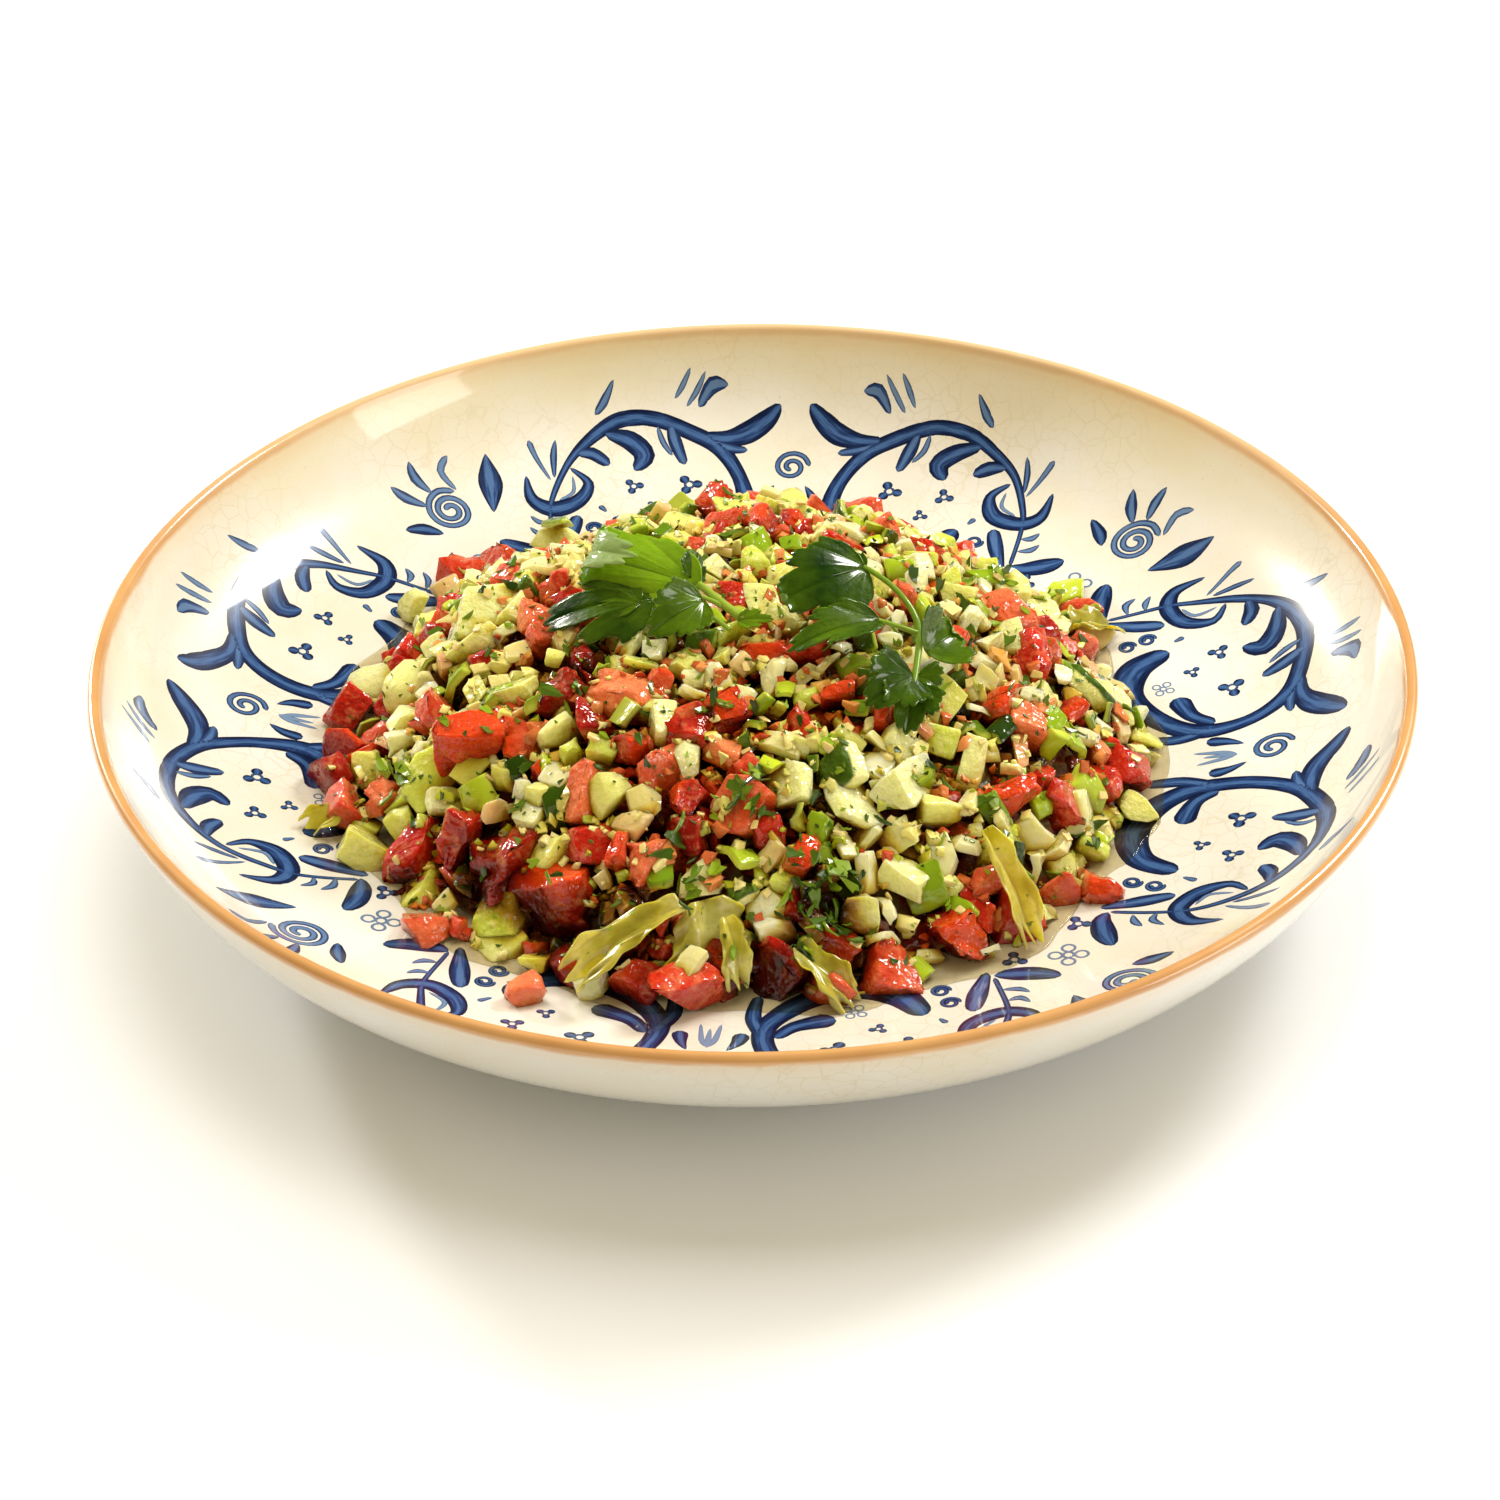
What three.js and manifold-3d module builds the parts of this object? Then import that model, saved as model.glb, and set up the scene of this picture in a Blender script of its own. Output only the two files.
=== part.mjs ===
// A shallow stoneware dish, 26 cm across, holding a low heap of chopped salad.
// The heap is one solid out to its uneven outline. Two sprigs of flat parsley lie on
// its top, and a tomato bit that rolled away from the heap lies on the glaze.
// Millimetres, +Z up, origin at the middle of the foot ring's flat underside.

import * as THREE from 'three';
import { mergeVertices } from 'three/addons/utils/BufferGeometryUtils.js';
import Module from 'manifold-3d';

const wasm = await Module();
wasm.setup();

// --- driving dimensions -----------------------------------------------------------

// dish
const FLANK_RADIUS = 130;     // radius that scales the wide, gentle flank
const LIP_START = 128.6;      // radius where the inner face turns into the round lip
const FLOOR_TOP = 8.15;       // height of the glazed floor at the middle
const FLANK_RISE = 18.2;      // climb of the flank, with the 4th power of the radius
const RIM_RISE = 13.56;       // climb of the upturned rim, with the 18th power
const LIP_ROUND = 1.35;       // radius of the rounded lip
const WALL = 5.0;             // wall thickness at the floor
const FOOT_OUTER = 68;        // foot ring, outer radius
const FOOT_INNER = 62;        // foot ring, inner radius
const FOOT_RECESS = 3.0;      // hollow under the floor, inside the foot ring
const DISH_STEPS = 72;        // facets round the dish

// salad heap
const HEAP_RADIUS = 84;       // mean radius of the heap's edge
const HEAP_TOP = 38.5;        // height of the heap above the floor, at its middle
const HEAP_GAP = 0.3;         // clearance between the salad and the glaze
const EDGE_STAND = 3.5;       // height of the outermost pieces above the glaze
const HEAP_STEPS = 60;        // facets round the heap
const HEAP_RINGS = 12;        // rings on its top
const LUMP = 1.1;             // height of the lumps that the diced pieces make

// parsley
const LEAF_THICK = 0.9;       // a leaf with its curl, as a solid slab
const STEM_RADIUS = 0.8;
const SPRIG_CLEAR = 1.2;      // clearance between a leaf's underside and the heap

// tomato bit on the glaze
const BIT_SIZE = 8.6;
const BIT_PLACE = { x: -42.7, y: -82.5 };
const BIT_SHARES = [0.5, 0.42, 0.36];  // half its length, width and height, by its size
const BIT_GAP = 0.5;          // clearance to the glaze, past the dish's flat facets

// --- materials ---------------------------------------------------------------------

const glaze = new THREE.MeshStandardMaterial({ color: 0xf2ecce, roughness: 0.22, metalness: 0 });
const saladMix = new THREE.MeshStandardMaterial({ color: 0xb9a24e, roughness: 0.3, metalness: 0 });
const parsleyLeaf = new THREE.MeshStandardMaterial({ color: 0x2f5a1c, roughness: 0.4, metalness: 0 });
const tomatoFlesh = new THREE.MeshStandardMaterial({ color: 0xc8442c, roughness: 0.25, metalness: 0 });

const salad = new THREE.Group();

function addPiece(name, geometry, material) {
  const mesh = new THREE.Mesh(geometry, material);
  mesh.name = name;
  salad.add(mesh);
  return mesh;
}

// --- dish --------------------------------------------------------------------------

// Height and slope of the glazed inner face at a radius.
function innerHeight(r) {
  return FLOOR_TOP + FLANK_RISE * (r / FLANK_RADIUS) ** 4 + RIM_RISE * (r / LIP_START) ** 18;
}

function innerSlope(r) {
  const flank = (4 * FLANK_RISE * (r / FLANK_RADIUS) ** 3) / FLANK_RADIUS;
  const rim = (18 * RIM_RISE * (r / LIP_START) ** 17) / LIP_START;
  return flank + rim;
}

// The wall thins from the floor's thickness to twice the lip's radius.
function outerPoint(r) {
  const thick = WALL - (WALL - 2 * LIP_ROUND) * (r / LIP_START) ** 12;
  const angle = Math.atan(innerSlope(r));
  return new THREE.Vector2(r + thick * Math.sin(angle), innerHeight(r) - thick * Math.cos(angle));
}

function dishProfile() {
  const wallRadii = [98, 109, 117, 122.5, 126, LIP_START];
  const inner = [0, 46, 74, ...wallRadii].map((r) => new THREE.Vector2(r, innerHeight(r)));

  // the lip is a half round between the inner and the outer face
  const angle = Math.atan(innerSlope(LIP_START));
  const centre = new THREE.Vector2(
    LIP_START + LIP_ROUND * Math.sin(angle),
    innerHeight(LIP_START) - LIP_ROUND * Math.cos(angle),
  );
  const lip = [0.25, 0.5, 0.75].map((turn) => {
    const a = Math.PI / 2 + angle - turn * Math.PI;
    return new THREE.Vector2(centre.x + LIP_ROUND * Math.cos(a), centre.y + LIP_ROUND * Math.sin(a));
  });

  const outer = [...wallRadii, 84, 72].sort((a, b) => b - a).map(outerPoint);
  const foot = [
    new THREE.Vector2(FOOT_OUTER, 0.8),
    new THREE.Vector2(FOOT_OUTER - 0.8, 0),
    new THREE.Vector2(FOOT_INNER + 0.8, 0),
    new THREE.Vector2(FOOT_INNER, 0.8),
    new THREE.Vector2(FOOT_INNER - 1.5, FOOT_RECESS),
    new THREE.Vector2(0, FOOT_RECESS),
  ];
  return [...inner, ...lip, ...outer, ...foot];
}

// The profile runs from the floor out to the lip and back underneath, so it is turned
// round end for end to make the lathe's faces point out.
const dishGeometry = new THREE.LatheGeometry(dishProfile().reverse(), DISH_STEPS);
dishGeometry.rotateX(Math.PI / 2);
addPiece('dish', dishGeometry, glaze);

// --- salad heap --------------------------------------------------------------------

// The heap lies a little to the left, and its edge wanders in and out by a few millimetres.
function edgeRadius(angle) {
  const lean = -2.2 * Math.cos(angle);
  return HEAP_RADIUS + lean + 1.2 * Math.cos(7 * angle + 1.1) + 1.2 * Math.cos(13 * angle - 0.7);
}

// Lumps a dice or two wide, fading out at the edge.
function lumps(x, y) {
  const coarse = Math.sin(x / 4.1 + 0.6 * Math.sin(y / 9)) * Math.sin(y / 4.7 + 1.3);
  const wide = Math.sin(x / 11 + 2.0) * Math.cos(y / 13);
  return LUMP * (coarse + wide);
}

function heapTop(x, y) {
  const share = Math.min(Math.hypot(x, y) / edgeRadius(Math.atan2(y, x)), 1);
  const dome = FLOOR_TOP + HEAP_TOP * (1 - share ** 3);
  const edge = innerHeight(Math.hypot(x, y)) + EDGE_STAND;
  return Math.max(dome, edge) + lumps(x, y) * (1 - share ** 4);
}

function heapGeometry() {
  const positions = [];
  const index = [];
  const rings = [];

  function addRing(share, heightAt) {
    const ring = [];
    for (let i = 0; i < HEAP_STEPS; i += 1) {
      const angle = (2 * Math.PI * i) / HEAP_STEPS;
      const r = share * edgeRadius(angle);
      const x = r * Math.cos(angle);
      const y = r * Math.sin(angle);
      ring.push(positions.length / 3);
      positions.push(x, y, heightAt(x, y));
    }
    rings.push(ring);
  }

  // The foot of the heap is lifted by the sag of the dish's flat facets as well.
  const bottomAt = (x, y) => innerHeight(Math.hypot(x, y)) + HEAP_GAP + 0.25;
  const topMiddle = 0;
  positions.push(0, 0, heapTop(0, 0));
  for (let ring = 1; ring <= HEAP_RINGS; ring += 1) {
    addRing((ring / HEAP_RINGS) ** 0.8, heapTop);
  }
  [1, 0.88, 0.7, 0.4].forEach((share) => addRing(share * 0.985, bottomAt));
  const bottomMiddle = positions.length / 3;
  positions.push(0, 0, bottomAt(0, 0));

  for (let i = 0; i < HEAP_STEPS; i += 1) {
    const next = (i + 1) % HEAP_STEPS;
    index.push(topMiddle, rings[0][i], rings[0][next]);
    for (let ring = 1; ring < rings.length; ring += 1) {
      const inside = rings[ring - 1];
      const outside = rings[ring];
      index.push(inside[i], outside[i], outside[next]);
      index.push(inside[i], outside[next], inside[next]);
    }
    const last = rings[rings.length - 1];
    index.push(bottomMiddle, last[next], last[i]);
  }

  const geometry = new THREE.BufferGeometry();
  geometry.setAttribute('position', new THREE.Float32BufferAttribute(positions, 3));
  geometry.setIndex(index);
  return geometry;
}

addPiece('salad_heap', heapGeometry(), saladMix);

// --- parsley sprigs ----------------------------------------------------------------

// Half the width of a leaflet, with two side lobes and a pointed tip.
function leafHalfWidth(share, width) {
  const outline = Math.sin(Math.PI * (0.08 + 0.9 * share)) ** 0.7;
  const lobes = 1 + 0.22 * Math.cos(5 * Math.PI * share - 0.6);
  return Math.max(0.5 * width * outline * lobes, 0.6);
}

// A leaflet is a thin slab along an arched midrib, folded up at both sides of it.
function leafSolid({ base, tip, width, arch, fold, tilt }) {
  const start = new THREE.Vector3(...base);
  const end = new THREE.Vector3(...tip);
  const middle = start.clone().lerp(end, 0.5).add(new THREE.Vector3(0, 0, 2 * arch));
  const midrib = new THREE.QuadraticBezierCurve3(start, middle, end);
  const across = end.clone().sub(start).setZ(0).normalize().applyAxisAngle(
    new THREE.Vector3(0, 0, 1),
    Math.PI / 2,
  );
  const stations = 9;
  const columns = [-1, -0.5, 0, 0.5, 1];
  const positions = [];
  const index = [];

  for (const side of [1, 0]) {
    for (let i = 0; i < stations; i += 1) {
      const share = i / (stations - 1);
      const rib = midrib.getPoint(share);
      const half = leafHalfWidth(share, width);
      for (const column of columns) {
        const lift = fold * Math.abs(column) * half + tilt * column * half;
        const x = rib.x + across.x * column * half;
        const y = rib.y + across.y * column * half;
        const floor = heapTop(x, y) + SPRIG_CLEAR;
        positions.push(x, y, Math.max(rib.z + lift, floor) + side * LEAF_THICK);
      }
    }
  }

  const layer = stations * columns.length;
  const at = (side, i, column) => side * layer + i * columns.length + column;
  const quad = (a, b, c, d) => index.push(a, b, c, a, c, d);
  const lastColumn = columns.length - 1;
  for (let i = 0; i < stations - 1; i += 1) {
    for (let column = 0; column < lastColumn; column += 1) {
      quad(at(0, i, column), at(0, i + 1, column), at(0, i + 1, column + 1), at(0, i, column + 1));
      quad(at(1, i, column), at(1, i, column + 1), at(1, i + 1, column + 1), at(1, i + 1, column));
    }
    quad(at(0, i, 0), at(1, i, 0), at(1, i + 1, 0), at(0, i + 1, 0));
    quad(at(0, i + 1, lastColumn), at(1, i + 1, lastColumn), at(1, i, lastColumn), at(0, i, lastColumn));
  }
  for (let column = 0; column < lastColumn; column += 1) {
    quad(at(0, 0, column + 1), at(1, 0, column + 1), at(1, 0, column), at(0, 0, column));
    const tipRow = stations - 1;
    const beside = column + 1;
    quad(at(0, tipRow, column), at(1, tipRow, column), at(1, tipRow, beside), at(0, tipRow, beside));
  }
  return toSolid(positions, index);
}

// A stem is a round tube along a smooth curve through its points.
function stemSolid(points) {
  const route = new THREE.CatmullRomCurve3(points.map((p) => new THREE.Vector3(...p)));
  const section = new THREE.Shape();
  section.absarc(0, 0, STEM_RADIUS, 0, 2 * Math.PI, false);
  const tube = new THREE.ExtrudeGeometry(section, {
    steps: 4 * (points.length - 1),
    curveSegments: 8,
    extrudePath: route,
    bevelEnabled: false,
  });
  tube.deleteAttribute('normal');
  tube.deleteAttribute('uv');
  const merged = mergeVertices(tube, 1e-4);
  return toSolid(merged.getAttribute('position').array, merged.getIndex().array);
}

function toSolid(positions, index) {
  const mesh = new wasm.Mesh({
    numProp: 3,
    vertProperties: new Float32Array(positions),
    triVerts: new Uint32Array(index),
  });
  return new wasm.Manifold(mesh);
}

function sprigGeometry({ stems, leaves }) {
  const solids = [...stems.map(stemSolid), ...leaves.map(leafSolid)];
  const joined = solids.reduce((whole, solid) => whole.add(solid)).getMesh();
  const geometry = new THREE.BufferGeometry();
  geometry.setAttribute('position', new THREE.BufferAttribute(joined.vertProperties, 3));
  geometry.setIndex(new THREE.BufferAttribute(joined.triVerts, 1));
  return geometry;
}

const leftSprig = {
  stems: [
    [[1, -15, 50], [-5, -9, 51.5], [-10, -1, 52.6], [-13, 6, 53.2]],
    [[-8, -4, 52.2], [-12, -9, 52.4], [-16, -11, 52.6]],
  ],
  leaves: [
    { base: [-11.5, 5, 53], tip: [-32, -1, 49.5], width: 21, arch: 5, fold: -0.2, tilt: -0.4 },
    { base: [-12.5, -9, 52.4], tip: [-31, -8, 51], width: 16, arch: 1.6, fold: 0.2, tilt: -0.3 },
    { base: [-25, -5, 50.4], tip: [-41, -5, 46.5], width: 11, arch: 1.5, fold: -0.2, tilt: 0 },
  ],
};

const rightSprig = {
  stems: [
    [[31.5, -29, 45.8], [33.5, -23, 47.4], [33.8, -15, 49], [29, -6, 52], [23, 2, 53.4]],
    [[33, -15, 49], [27, -15, 50.4], [20, -14, 51]],
  ],
  leaves: [
    { base: [25, 1, 53], tip: [1, -6, 52.4], width: 16, arch: 2, fold: -0.2, tilt: -0.3 },
    { base: [24, -14.5, 50.6], tip: [5, -20, 50], width: 9, arch: 1.5, fold: 0.3, tilt: -0.4 },
    { base: [32, -18, 48.8], tip: [40, -12, 48], width: 10, arch: 1, fold: 0.5, tilt: 0 },
    { base: [34, -23, 47], tip: [22, -36, 44], width: 19, arch: 1.5, fold: 0.3, tilt: 0.1 },
  ],
};

addPiece('parsley_sprig_left', sprigGeometry(leftSprig), parsleyLeaf);
addPiece('parsley_sprig_right', sprigGeometry(rightSprig), parsleyLeaf);

// --- tomato bit on the glaze -------------------------------------------------------

// A soft-edged cube of tomato, a little squashed, leaning with the slope of the flank.
function addTomatoBit(name) {
  const shape = new THREE.SphereGeometry(1, 12, 8);
  const corners = shape.getAttribute('position');
  for (let i = 0; i < corners.count; i += 1) {
    const p = new THREE.Vector3().fromBufferAttribute(corners, i);
    const reach = Math.cbrt(Math.abs(p.x) ** 3 + Math.abs(p.y) ** 3 + Math.abs(p.z) ** 3);
    p.multiply(new THREE.Vector3(...BIT_SHARES)).multiplyScalar(BIT_SIZE / reach);
    corners.setXYZ(i, p.x, p.y, p.z);
  }
  const r = Math.hypot(BIT_PLACE.x, BIT_PLACE.y);
  const lean = Math.atan(innerSlope(r));
  const downhill = new THREE.Vector3(BIT_PLACE.y, -BIT_PLACE.x, 0).normalize();
  const lift = (BIT_SHARES[2] * BIT_SIZE + BIT_GAP) / Math.cos(lean);
  const bit = addPiece(name, shape, tomatoFlesh);
  bit.position.set(BIT_PLACE.x, BIT_PLACE.y, innerHeight(r) + lift);
  bit.setRotationFromAxisAngle(downhill, lean);
}

addTomatoBit('stray_tomato');

export default salad;
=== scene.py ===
import math
import random

import bmesh
import bpy
import numpy as np
from mathutils import Euler, Matrix, Vector, noise
from mathutils.bvhtree import BVHTree


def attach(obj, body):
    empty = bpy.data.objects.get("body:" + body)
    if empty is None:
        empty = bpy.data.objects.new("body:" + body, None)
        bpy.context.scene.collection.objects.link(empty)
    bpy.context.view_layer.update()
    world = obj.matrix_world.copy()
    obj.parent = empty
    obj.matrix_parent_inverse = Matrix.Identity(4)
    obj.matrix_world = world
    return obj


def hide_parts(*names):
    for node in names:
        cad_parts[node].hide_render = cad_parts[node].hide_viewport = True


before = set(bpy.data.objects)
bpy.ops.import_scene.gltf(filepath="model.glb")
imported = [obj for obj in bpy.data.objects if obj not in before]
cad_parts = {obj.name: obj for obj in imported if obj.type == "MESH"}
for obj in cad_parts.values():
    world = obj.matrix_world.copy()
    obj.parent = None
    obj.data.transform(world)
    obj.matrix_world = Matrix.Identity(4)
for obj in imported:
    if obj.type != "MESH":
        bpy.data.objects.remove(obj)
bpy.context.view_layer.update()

# --- Camera ------------------------------------------------------------------------
# The photograph looks down on the dish at 33 degrees, from 650 mm off the middle of
# the rim. The rim's middle lies a little above the middle of the picture.
rim_height = 0.040
view_down = math.radians(33.0)
view_distance = 0.650
view_roll = math.radians(-0.66)
picture_side = 1500
picture_focal = 3257.4
rim_pixel = (752.0, 627.8)

camera = bpy.data.objects.new("camera", bpy.data.cameras.new("camera"))
bpy.context.scene.collection.objects.link(camera)
bpy.context.scene.camera = camera
camera.data.sensor_width = 36.0
camera.data.lens = picture_focal / picture_side * camera.data.sensor_width
camera.data.shift_x = (picture_side / 2 - rim_pixel[0]) / picture_side
camera.data.shift_y = (rim_pixel[1] - picture_side / 2) / picture_side
camera.data.clip_start = 0.01
camera_place = Vector((
    0.0,
    -view_distance * math.cos(view_down),
    rim_height + view_distance * math.sin(view_down),
))
camera_turn = Matrix.Rotation(math.pi / 2 - view_down, 4, "X") @ Matrix.Rotation(view_roll, 4, "Z")
camera.matrix_world = Matrix.Translation(camera_place) @ camera_turn


# --- Dish --------------------------------------------------------------------------
# A shallow coupe dish, thrown in pale stoneware, 262 mm across: a gentle flank, an
# upturned rim with a rounded lip, and a foot ring. Dipped in cream crackle glaze, with
# the lip wiped to a line of ochre slip.
dish_sides = 192
floor_top = 0.00815
flank_radius = 0.130
flank_rise = 0.0182
lip_start = 0.1286
rim_rise = 0.01356
lip_round = 0.00135
wall_at_floor = 0.005
foot_outer = 0.068
foot_inner = 0.062
foot_recess = 0.003
foot_edge = 0.0008


def inner_height(r):
    """Height of the glaze inside the dish, r from its middle: flat there, steep at the rim."""
    return floor_top + flank_rise * (r / flank_radius) ** 4 + rim_rise * (r / lip_start) ** 18


def inner_slope(r):
    """How steeply the inside rises."""
    flank = 4 * flank_rise * (r / flank_radius) ** 3 / flank_radius
    rim = 18 * rim_rise * (r / lip_start) ** 17 / lip_start
    return flank + rim


def outer_point(r):
    """The point of the outside that lies square under the inside; the wall thins outwards."""
    thick = wall_at_floor - (wall_at_floor - 2 * lip_round) * (r / lip_start) ** 12
    angle = math.atan(inner_slope(r))
    return r + thick * math.sin(angle), inner_height(r) - thick * math.cos(angle)


def turn_rings(name, sides, rings):
    """Draw a disc out of its middle ring by ring, then close it underneath."""
    bpy.ops.object.select_all(action="DESELECT")
    first_radius, first_height = rings[0]
    bpy.ops.mesh.primitive_circle_add(vertices=sides, radius=first_radius, fill_type="TRIFAN")
    piece = bpy.context.object
    piece.name = name
    bpy.ops.object.mode_set(mode="EDIT")
    bpy.ops.transform.translate(value=(0, 0, first_height))
    mesh = bmesh.from_edit_mesh(piece.data)
    for edge in mesh.edges:
        edge.select = edge.is_boundary
    mesh.select_flush_mode()
    bpy.ops.mesh.select_mode(type="EDGE")
    for (radius, height), (last_radius, last_height) in zip(rings[1:], rings):
        rise = (0, 0, height - last_height)
        bpy.ops.mesh.extrude_region_move(TRANSFORM_OT_translate={"value": rise})
        grow = radius / last_radius
        bpy.ops.transform.resize(value=(grow, grow, 1), center_override=(0, 0, 0))
    bpy.ops.mesh.merge(type="CENTER")
    bpy.ops.mesh.select_all(action="SELECT")
    bpy.ops.mesh.normals_make_consistent(inside=False)
    bpy.ops.object.mode_set(mode="OBJECT")
    bpy.ops.object.shade_smooth()
    return piece


inner_steps = 46
inner_radii = [lip_start * (1 - (1 - step / inner_steps) ** 1.5) for step in range(1, inner_steps + 1)]
inner_rings = [(r, inner_height(r)) for r in inner_radii]
lip_angle = math.atan(inner_slope(lip_start))
lip_middle = (
    lip_start + lip_round * math.sin(lip_angle),
    inner_height(lip_start) - lip_round * math.cos(lip_angle),
)
lip_rings = []
for step in range(1, 10):
    a = math.pi / 2 + lip_angle - math.pi * step / 10
    lip_rings.append((lip_middle[0] + lip_round * math.cos(a), lip_middle[1] + lip_round * math.sin(a)))
foot_meets_wall = 0.070
outer_rings = [outer_point(r) for r in reversed(inner_radii) if r > foot_meets_wall]
foot_rings = [
    (foot_outer + 0.0012, 0.0042),
    (foot_outer, 0.0026),
    (foot_outer, foot_edge),
    (foot_outer - foot_edge, 0.0),
    (foot_inner + foot_edge, 0.0),
    (foot_inner, foot_edge),
    (foot_inner - 0.0012, foot_recess),
    (0.030, foot_recess),
    (0.003, foot_recess),
]
dish = turn_rings("dish_stoneware", dish_sides, inner_rings + lip_rings + outer_rings + foot_rings)


class Finish:
    """The finish of one kind of surface: a material, and the shader nodes that make it."""

    def __init__(
        self, name, roughness, coat=0.0, coat_roughness=0.06, subsurface=0.0, radius=(0.003, 0.002, 0.001)
    ):
        self.material = bpy.data.materials.new(name)
        self.material.use_nodes = True
        self.tree = self.material.node_tree
        self.shader = self.tree.nodes["Principled BSDF"]
        for key, value in (
            ("Roughness", roughness),
            ("Coat Weight", coat),
            ("Coat Roughness", coat_roughness),
            ("Subsurface Weight", subsurface),
            ("Subsurface Radius", radius),
            ("Subsurface Scale", 1.0),
            # under a full coat of wet or glaze, what is below it has little shine of its own
            ("Specular IOR Level", 0.5 if coat < 1.0 else 0.12),
        ):
            self.shader.inputs[key].default_value = value

    def fill(self, socket, value):
        """Give an input a value, a colour or another node's output."""
        if isinstance(value, bpy.types.NodeSocket):
            self.tree.links.new(value, socket)
        elif socket.type == "RGBA":
            socket.default_value = (*value, 1.0)
        else:
            socket.default_value = value

    def node(self, kind, inputs=None, **settings):
        node = self.tree.nodes.new(kind)
        for key, value in settings.items():
            setattr(node, key, value)
        for key, value in (inputs or {}).items():
            self.fill(node.inputs[key], value)
        return node

    def place(self):
        """Where a point lies on the object, for a pattern to follow."""
        return self.node("ShaderNodeTexCoord").outputs["Object"]

    def carried(self, name):
        """A value that the mesh carries at each of its corners."""
        return self.node("ShaderNodeAttribute", attribute_name=name).outputs["Fac"]

    def noise(self, scale, detail=3.0, place=None):
        where = self.place() if place is None else place
        inputs = {"Vector": where, "Scale": scale, "Detail": detail}
        return self.node("ShaderNodeTexNoise", inputs).outputs["Fac"]

    def ramp(self, value, stops):
        """Colours or greys along a value; each stop is a place and a colour or a grey."""
        node = self.node("ShaderNodeValToRGB", {"Fac": value})
        elements = node.color_ramp.elements
        while len(elements) < len(stops):
            elements.new(0.5)
        for element, (place, colour) in zip(elements, stops):
            element.position = place
            rgb = colour if isinstance(colour, tuple) else (colour, colour, colour)
            element.color = (*rgb, 1.0)
        return node.outputs["Color"]

    def climb(self, value, low, high, most=1.0):
        """0 below the low level, rising evenly to the most at the high one."""
        inputs = {"Value": value, "From Min": low, "From Max": high, "To Min": 0.0, "To Max": most}
        return self.node("ShaderNodeMapRange", inputs).outputs["Result"]

    def mix(self, share, first, second, blend="MIX"):
        node = self.node("ShaderNodeMix", data_type="RGBA", blend_type=blend)
        for index, value in ((0, share), (6, first), (7, second)):
            self.fill(node.inputs[index], value)
        return node.outputs[2]

    def maths(self, operation, first, second=0.0, clamp=False):
        inputs = {0: first, 1: second}
        return self.node("ShaderNodeMath", inputs, operation=operation, use_clamp=clamp).outputs[0]

    def relief(self, height, distance, strength, socket="Normal"):
        """Fine relief in the surface, or in the wet coat over it."""
        inputs = {"Height": height, "Distance": distance, "Strength": strength}
        self.fill(self.shader.inputs[socket], self.node("ShaderNodeBump", inputs).outputs["Normal"])

    def colour(self, value):
        self.fill(self.shader.inputs["Base Color"], value)


cream = (0.78, 0.78, 0.76)
cream_deep = (0.76, 0.72, 0.61)
crackle_brown = (0.55, 0.46, 0.28)
ochre = (0.50, 0.22, 0.065)
ochre_pale = (0.74, 0.45, 0.19)
back_wall_shade_ochre = (0.80, 0.66, 0.27)


def crackle_glaze():
    """Cream glaze: mottled, with a fine net of crackle lines and a few dark specks."""
    finish = Finish("cream_crackle_glaze", 0.3, coat=0.9)
    place = finish.place()
    cloud = finish.ramp(finish.noise(45.0, 5.0), [(0.35, 0.0), (0.7, 1.0)])
    base = finish.mix(cloud, cream, cream_deep)

    # crackle: the edges of cells about 4 mm wide, bent by a noise
    wobble = finish.node("ShaderNodeTexNoise", {"Vector": place, "Scale": 140.0, "Detail": 3.0})
    bend = {"Fac": 0.004, "Color1": place, "Color2": wobble.outputs["Color"]}
    bent = finish.node("ShaderNodeMixRGB", bend).outputs["Color"]
    cells = finish.node("ShaderNodeTexVoronoi", {"Vector": bent, "Scale": 230.0}, feature="DISTANCE_TO_EDGE")
    line = finish.ramp(cells.outputs["Distance"], [(0.0, 1.0), (0.05, 0.0)])
    patch = finish.ramp(finish.noise(28.0, 2.0), [(0.4, 0.0), (0.65, 0.34)])
    cracked = finish.mix(finish.maths("MULTIPLY", line, patch), base, crackle_brown)
    specks = finish.ramp(finish.noise(1500.0, 1.0), [(0.70, 0.0), (0.76, 0.35)])
    specked = finish.mix(specks, cracked, crackle_brown)

    # the lip: ochre slip on its crest, fading into the glaze below it; at the back the
    # slip has run thinner, and the glaze further down there is tinted ochre: painted
    # warm shade on the side that faces away from the lamps
    split = finish.node("ShaderNodeSeparateXYZ", {"Vector": place})
    ragged = finish.maths("MULTIPLY", finish.noise(90.0, 4.0), 0.0016)
    level = finish.maths("SUBTRACT", split.outputs["Z"], ragged)
    far_side = finish.climb(split.outputs["Y"], 0.02, 0.11)
    shade_stain = finish.maths("MULTIPLY", finish.climb(level, 0.0240, 0.0370, 0.42), far_side)
    back_wall_shaded = finish.mix(shade_stain, specked, back_wall_shade_ochre)
    blushed = finish.mix(finish.climb(level, 0.0335, 0.0385, 0.35), back_wall_shaded, ochre_pale)
    thinned = finish.maths("SUBTRACT", 1.0, finish.maths("MULTIPLY", far_side, 0.6))
    crest = finish.maths("MULTIPLY", finish.climb(level, 0.0370, 0.0379), thinned)
    slip = finish.mix(finish.noise(60.0, 4.0), ochre, ochre_pale)
    finish.colour(finish.mix(crest, blushed, slip))
    finish.relief(finish.noise(55.0, 2.0), 0.0005, 0.35)
    return finish.material


dish.data.materials.append(crackle_glaze())
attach(dish, "root")
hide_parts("dish")


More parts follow.
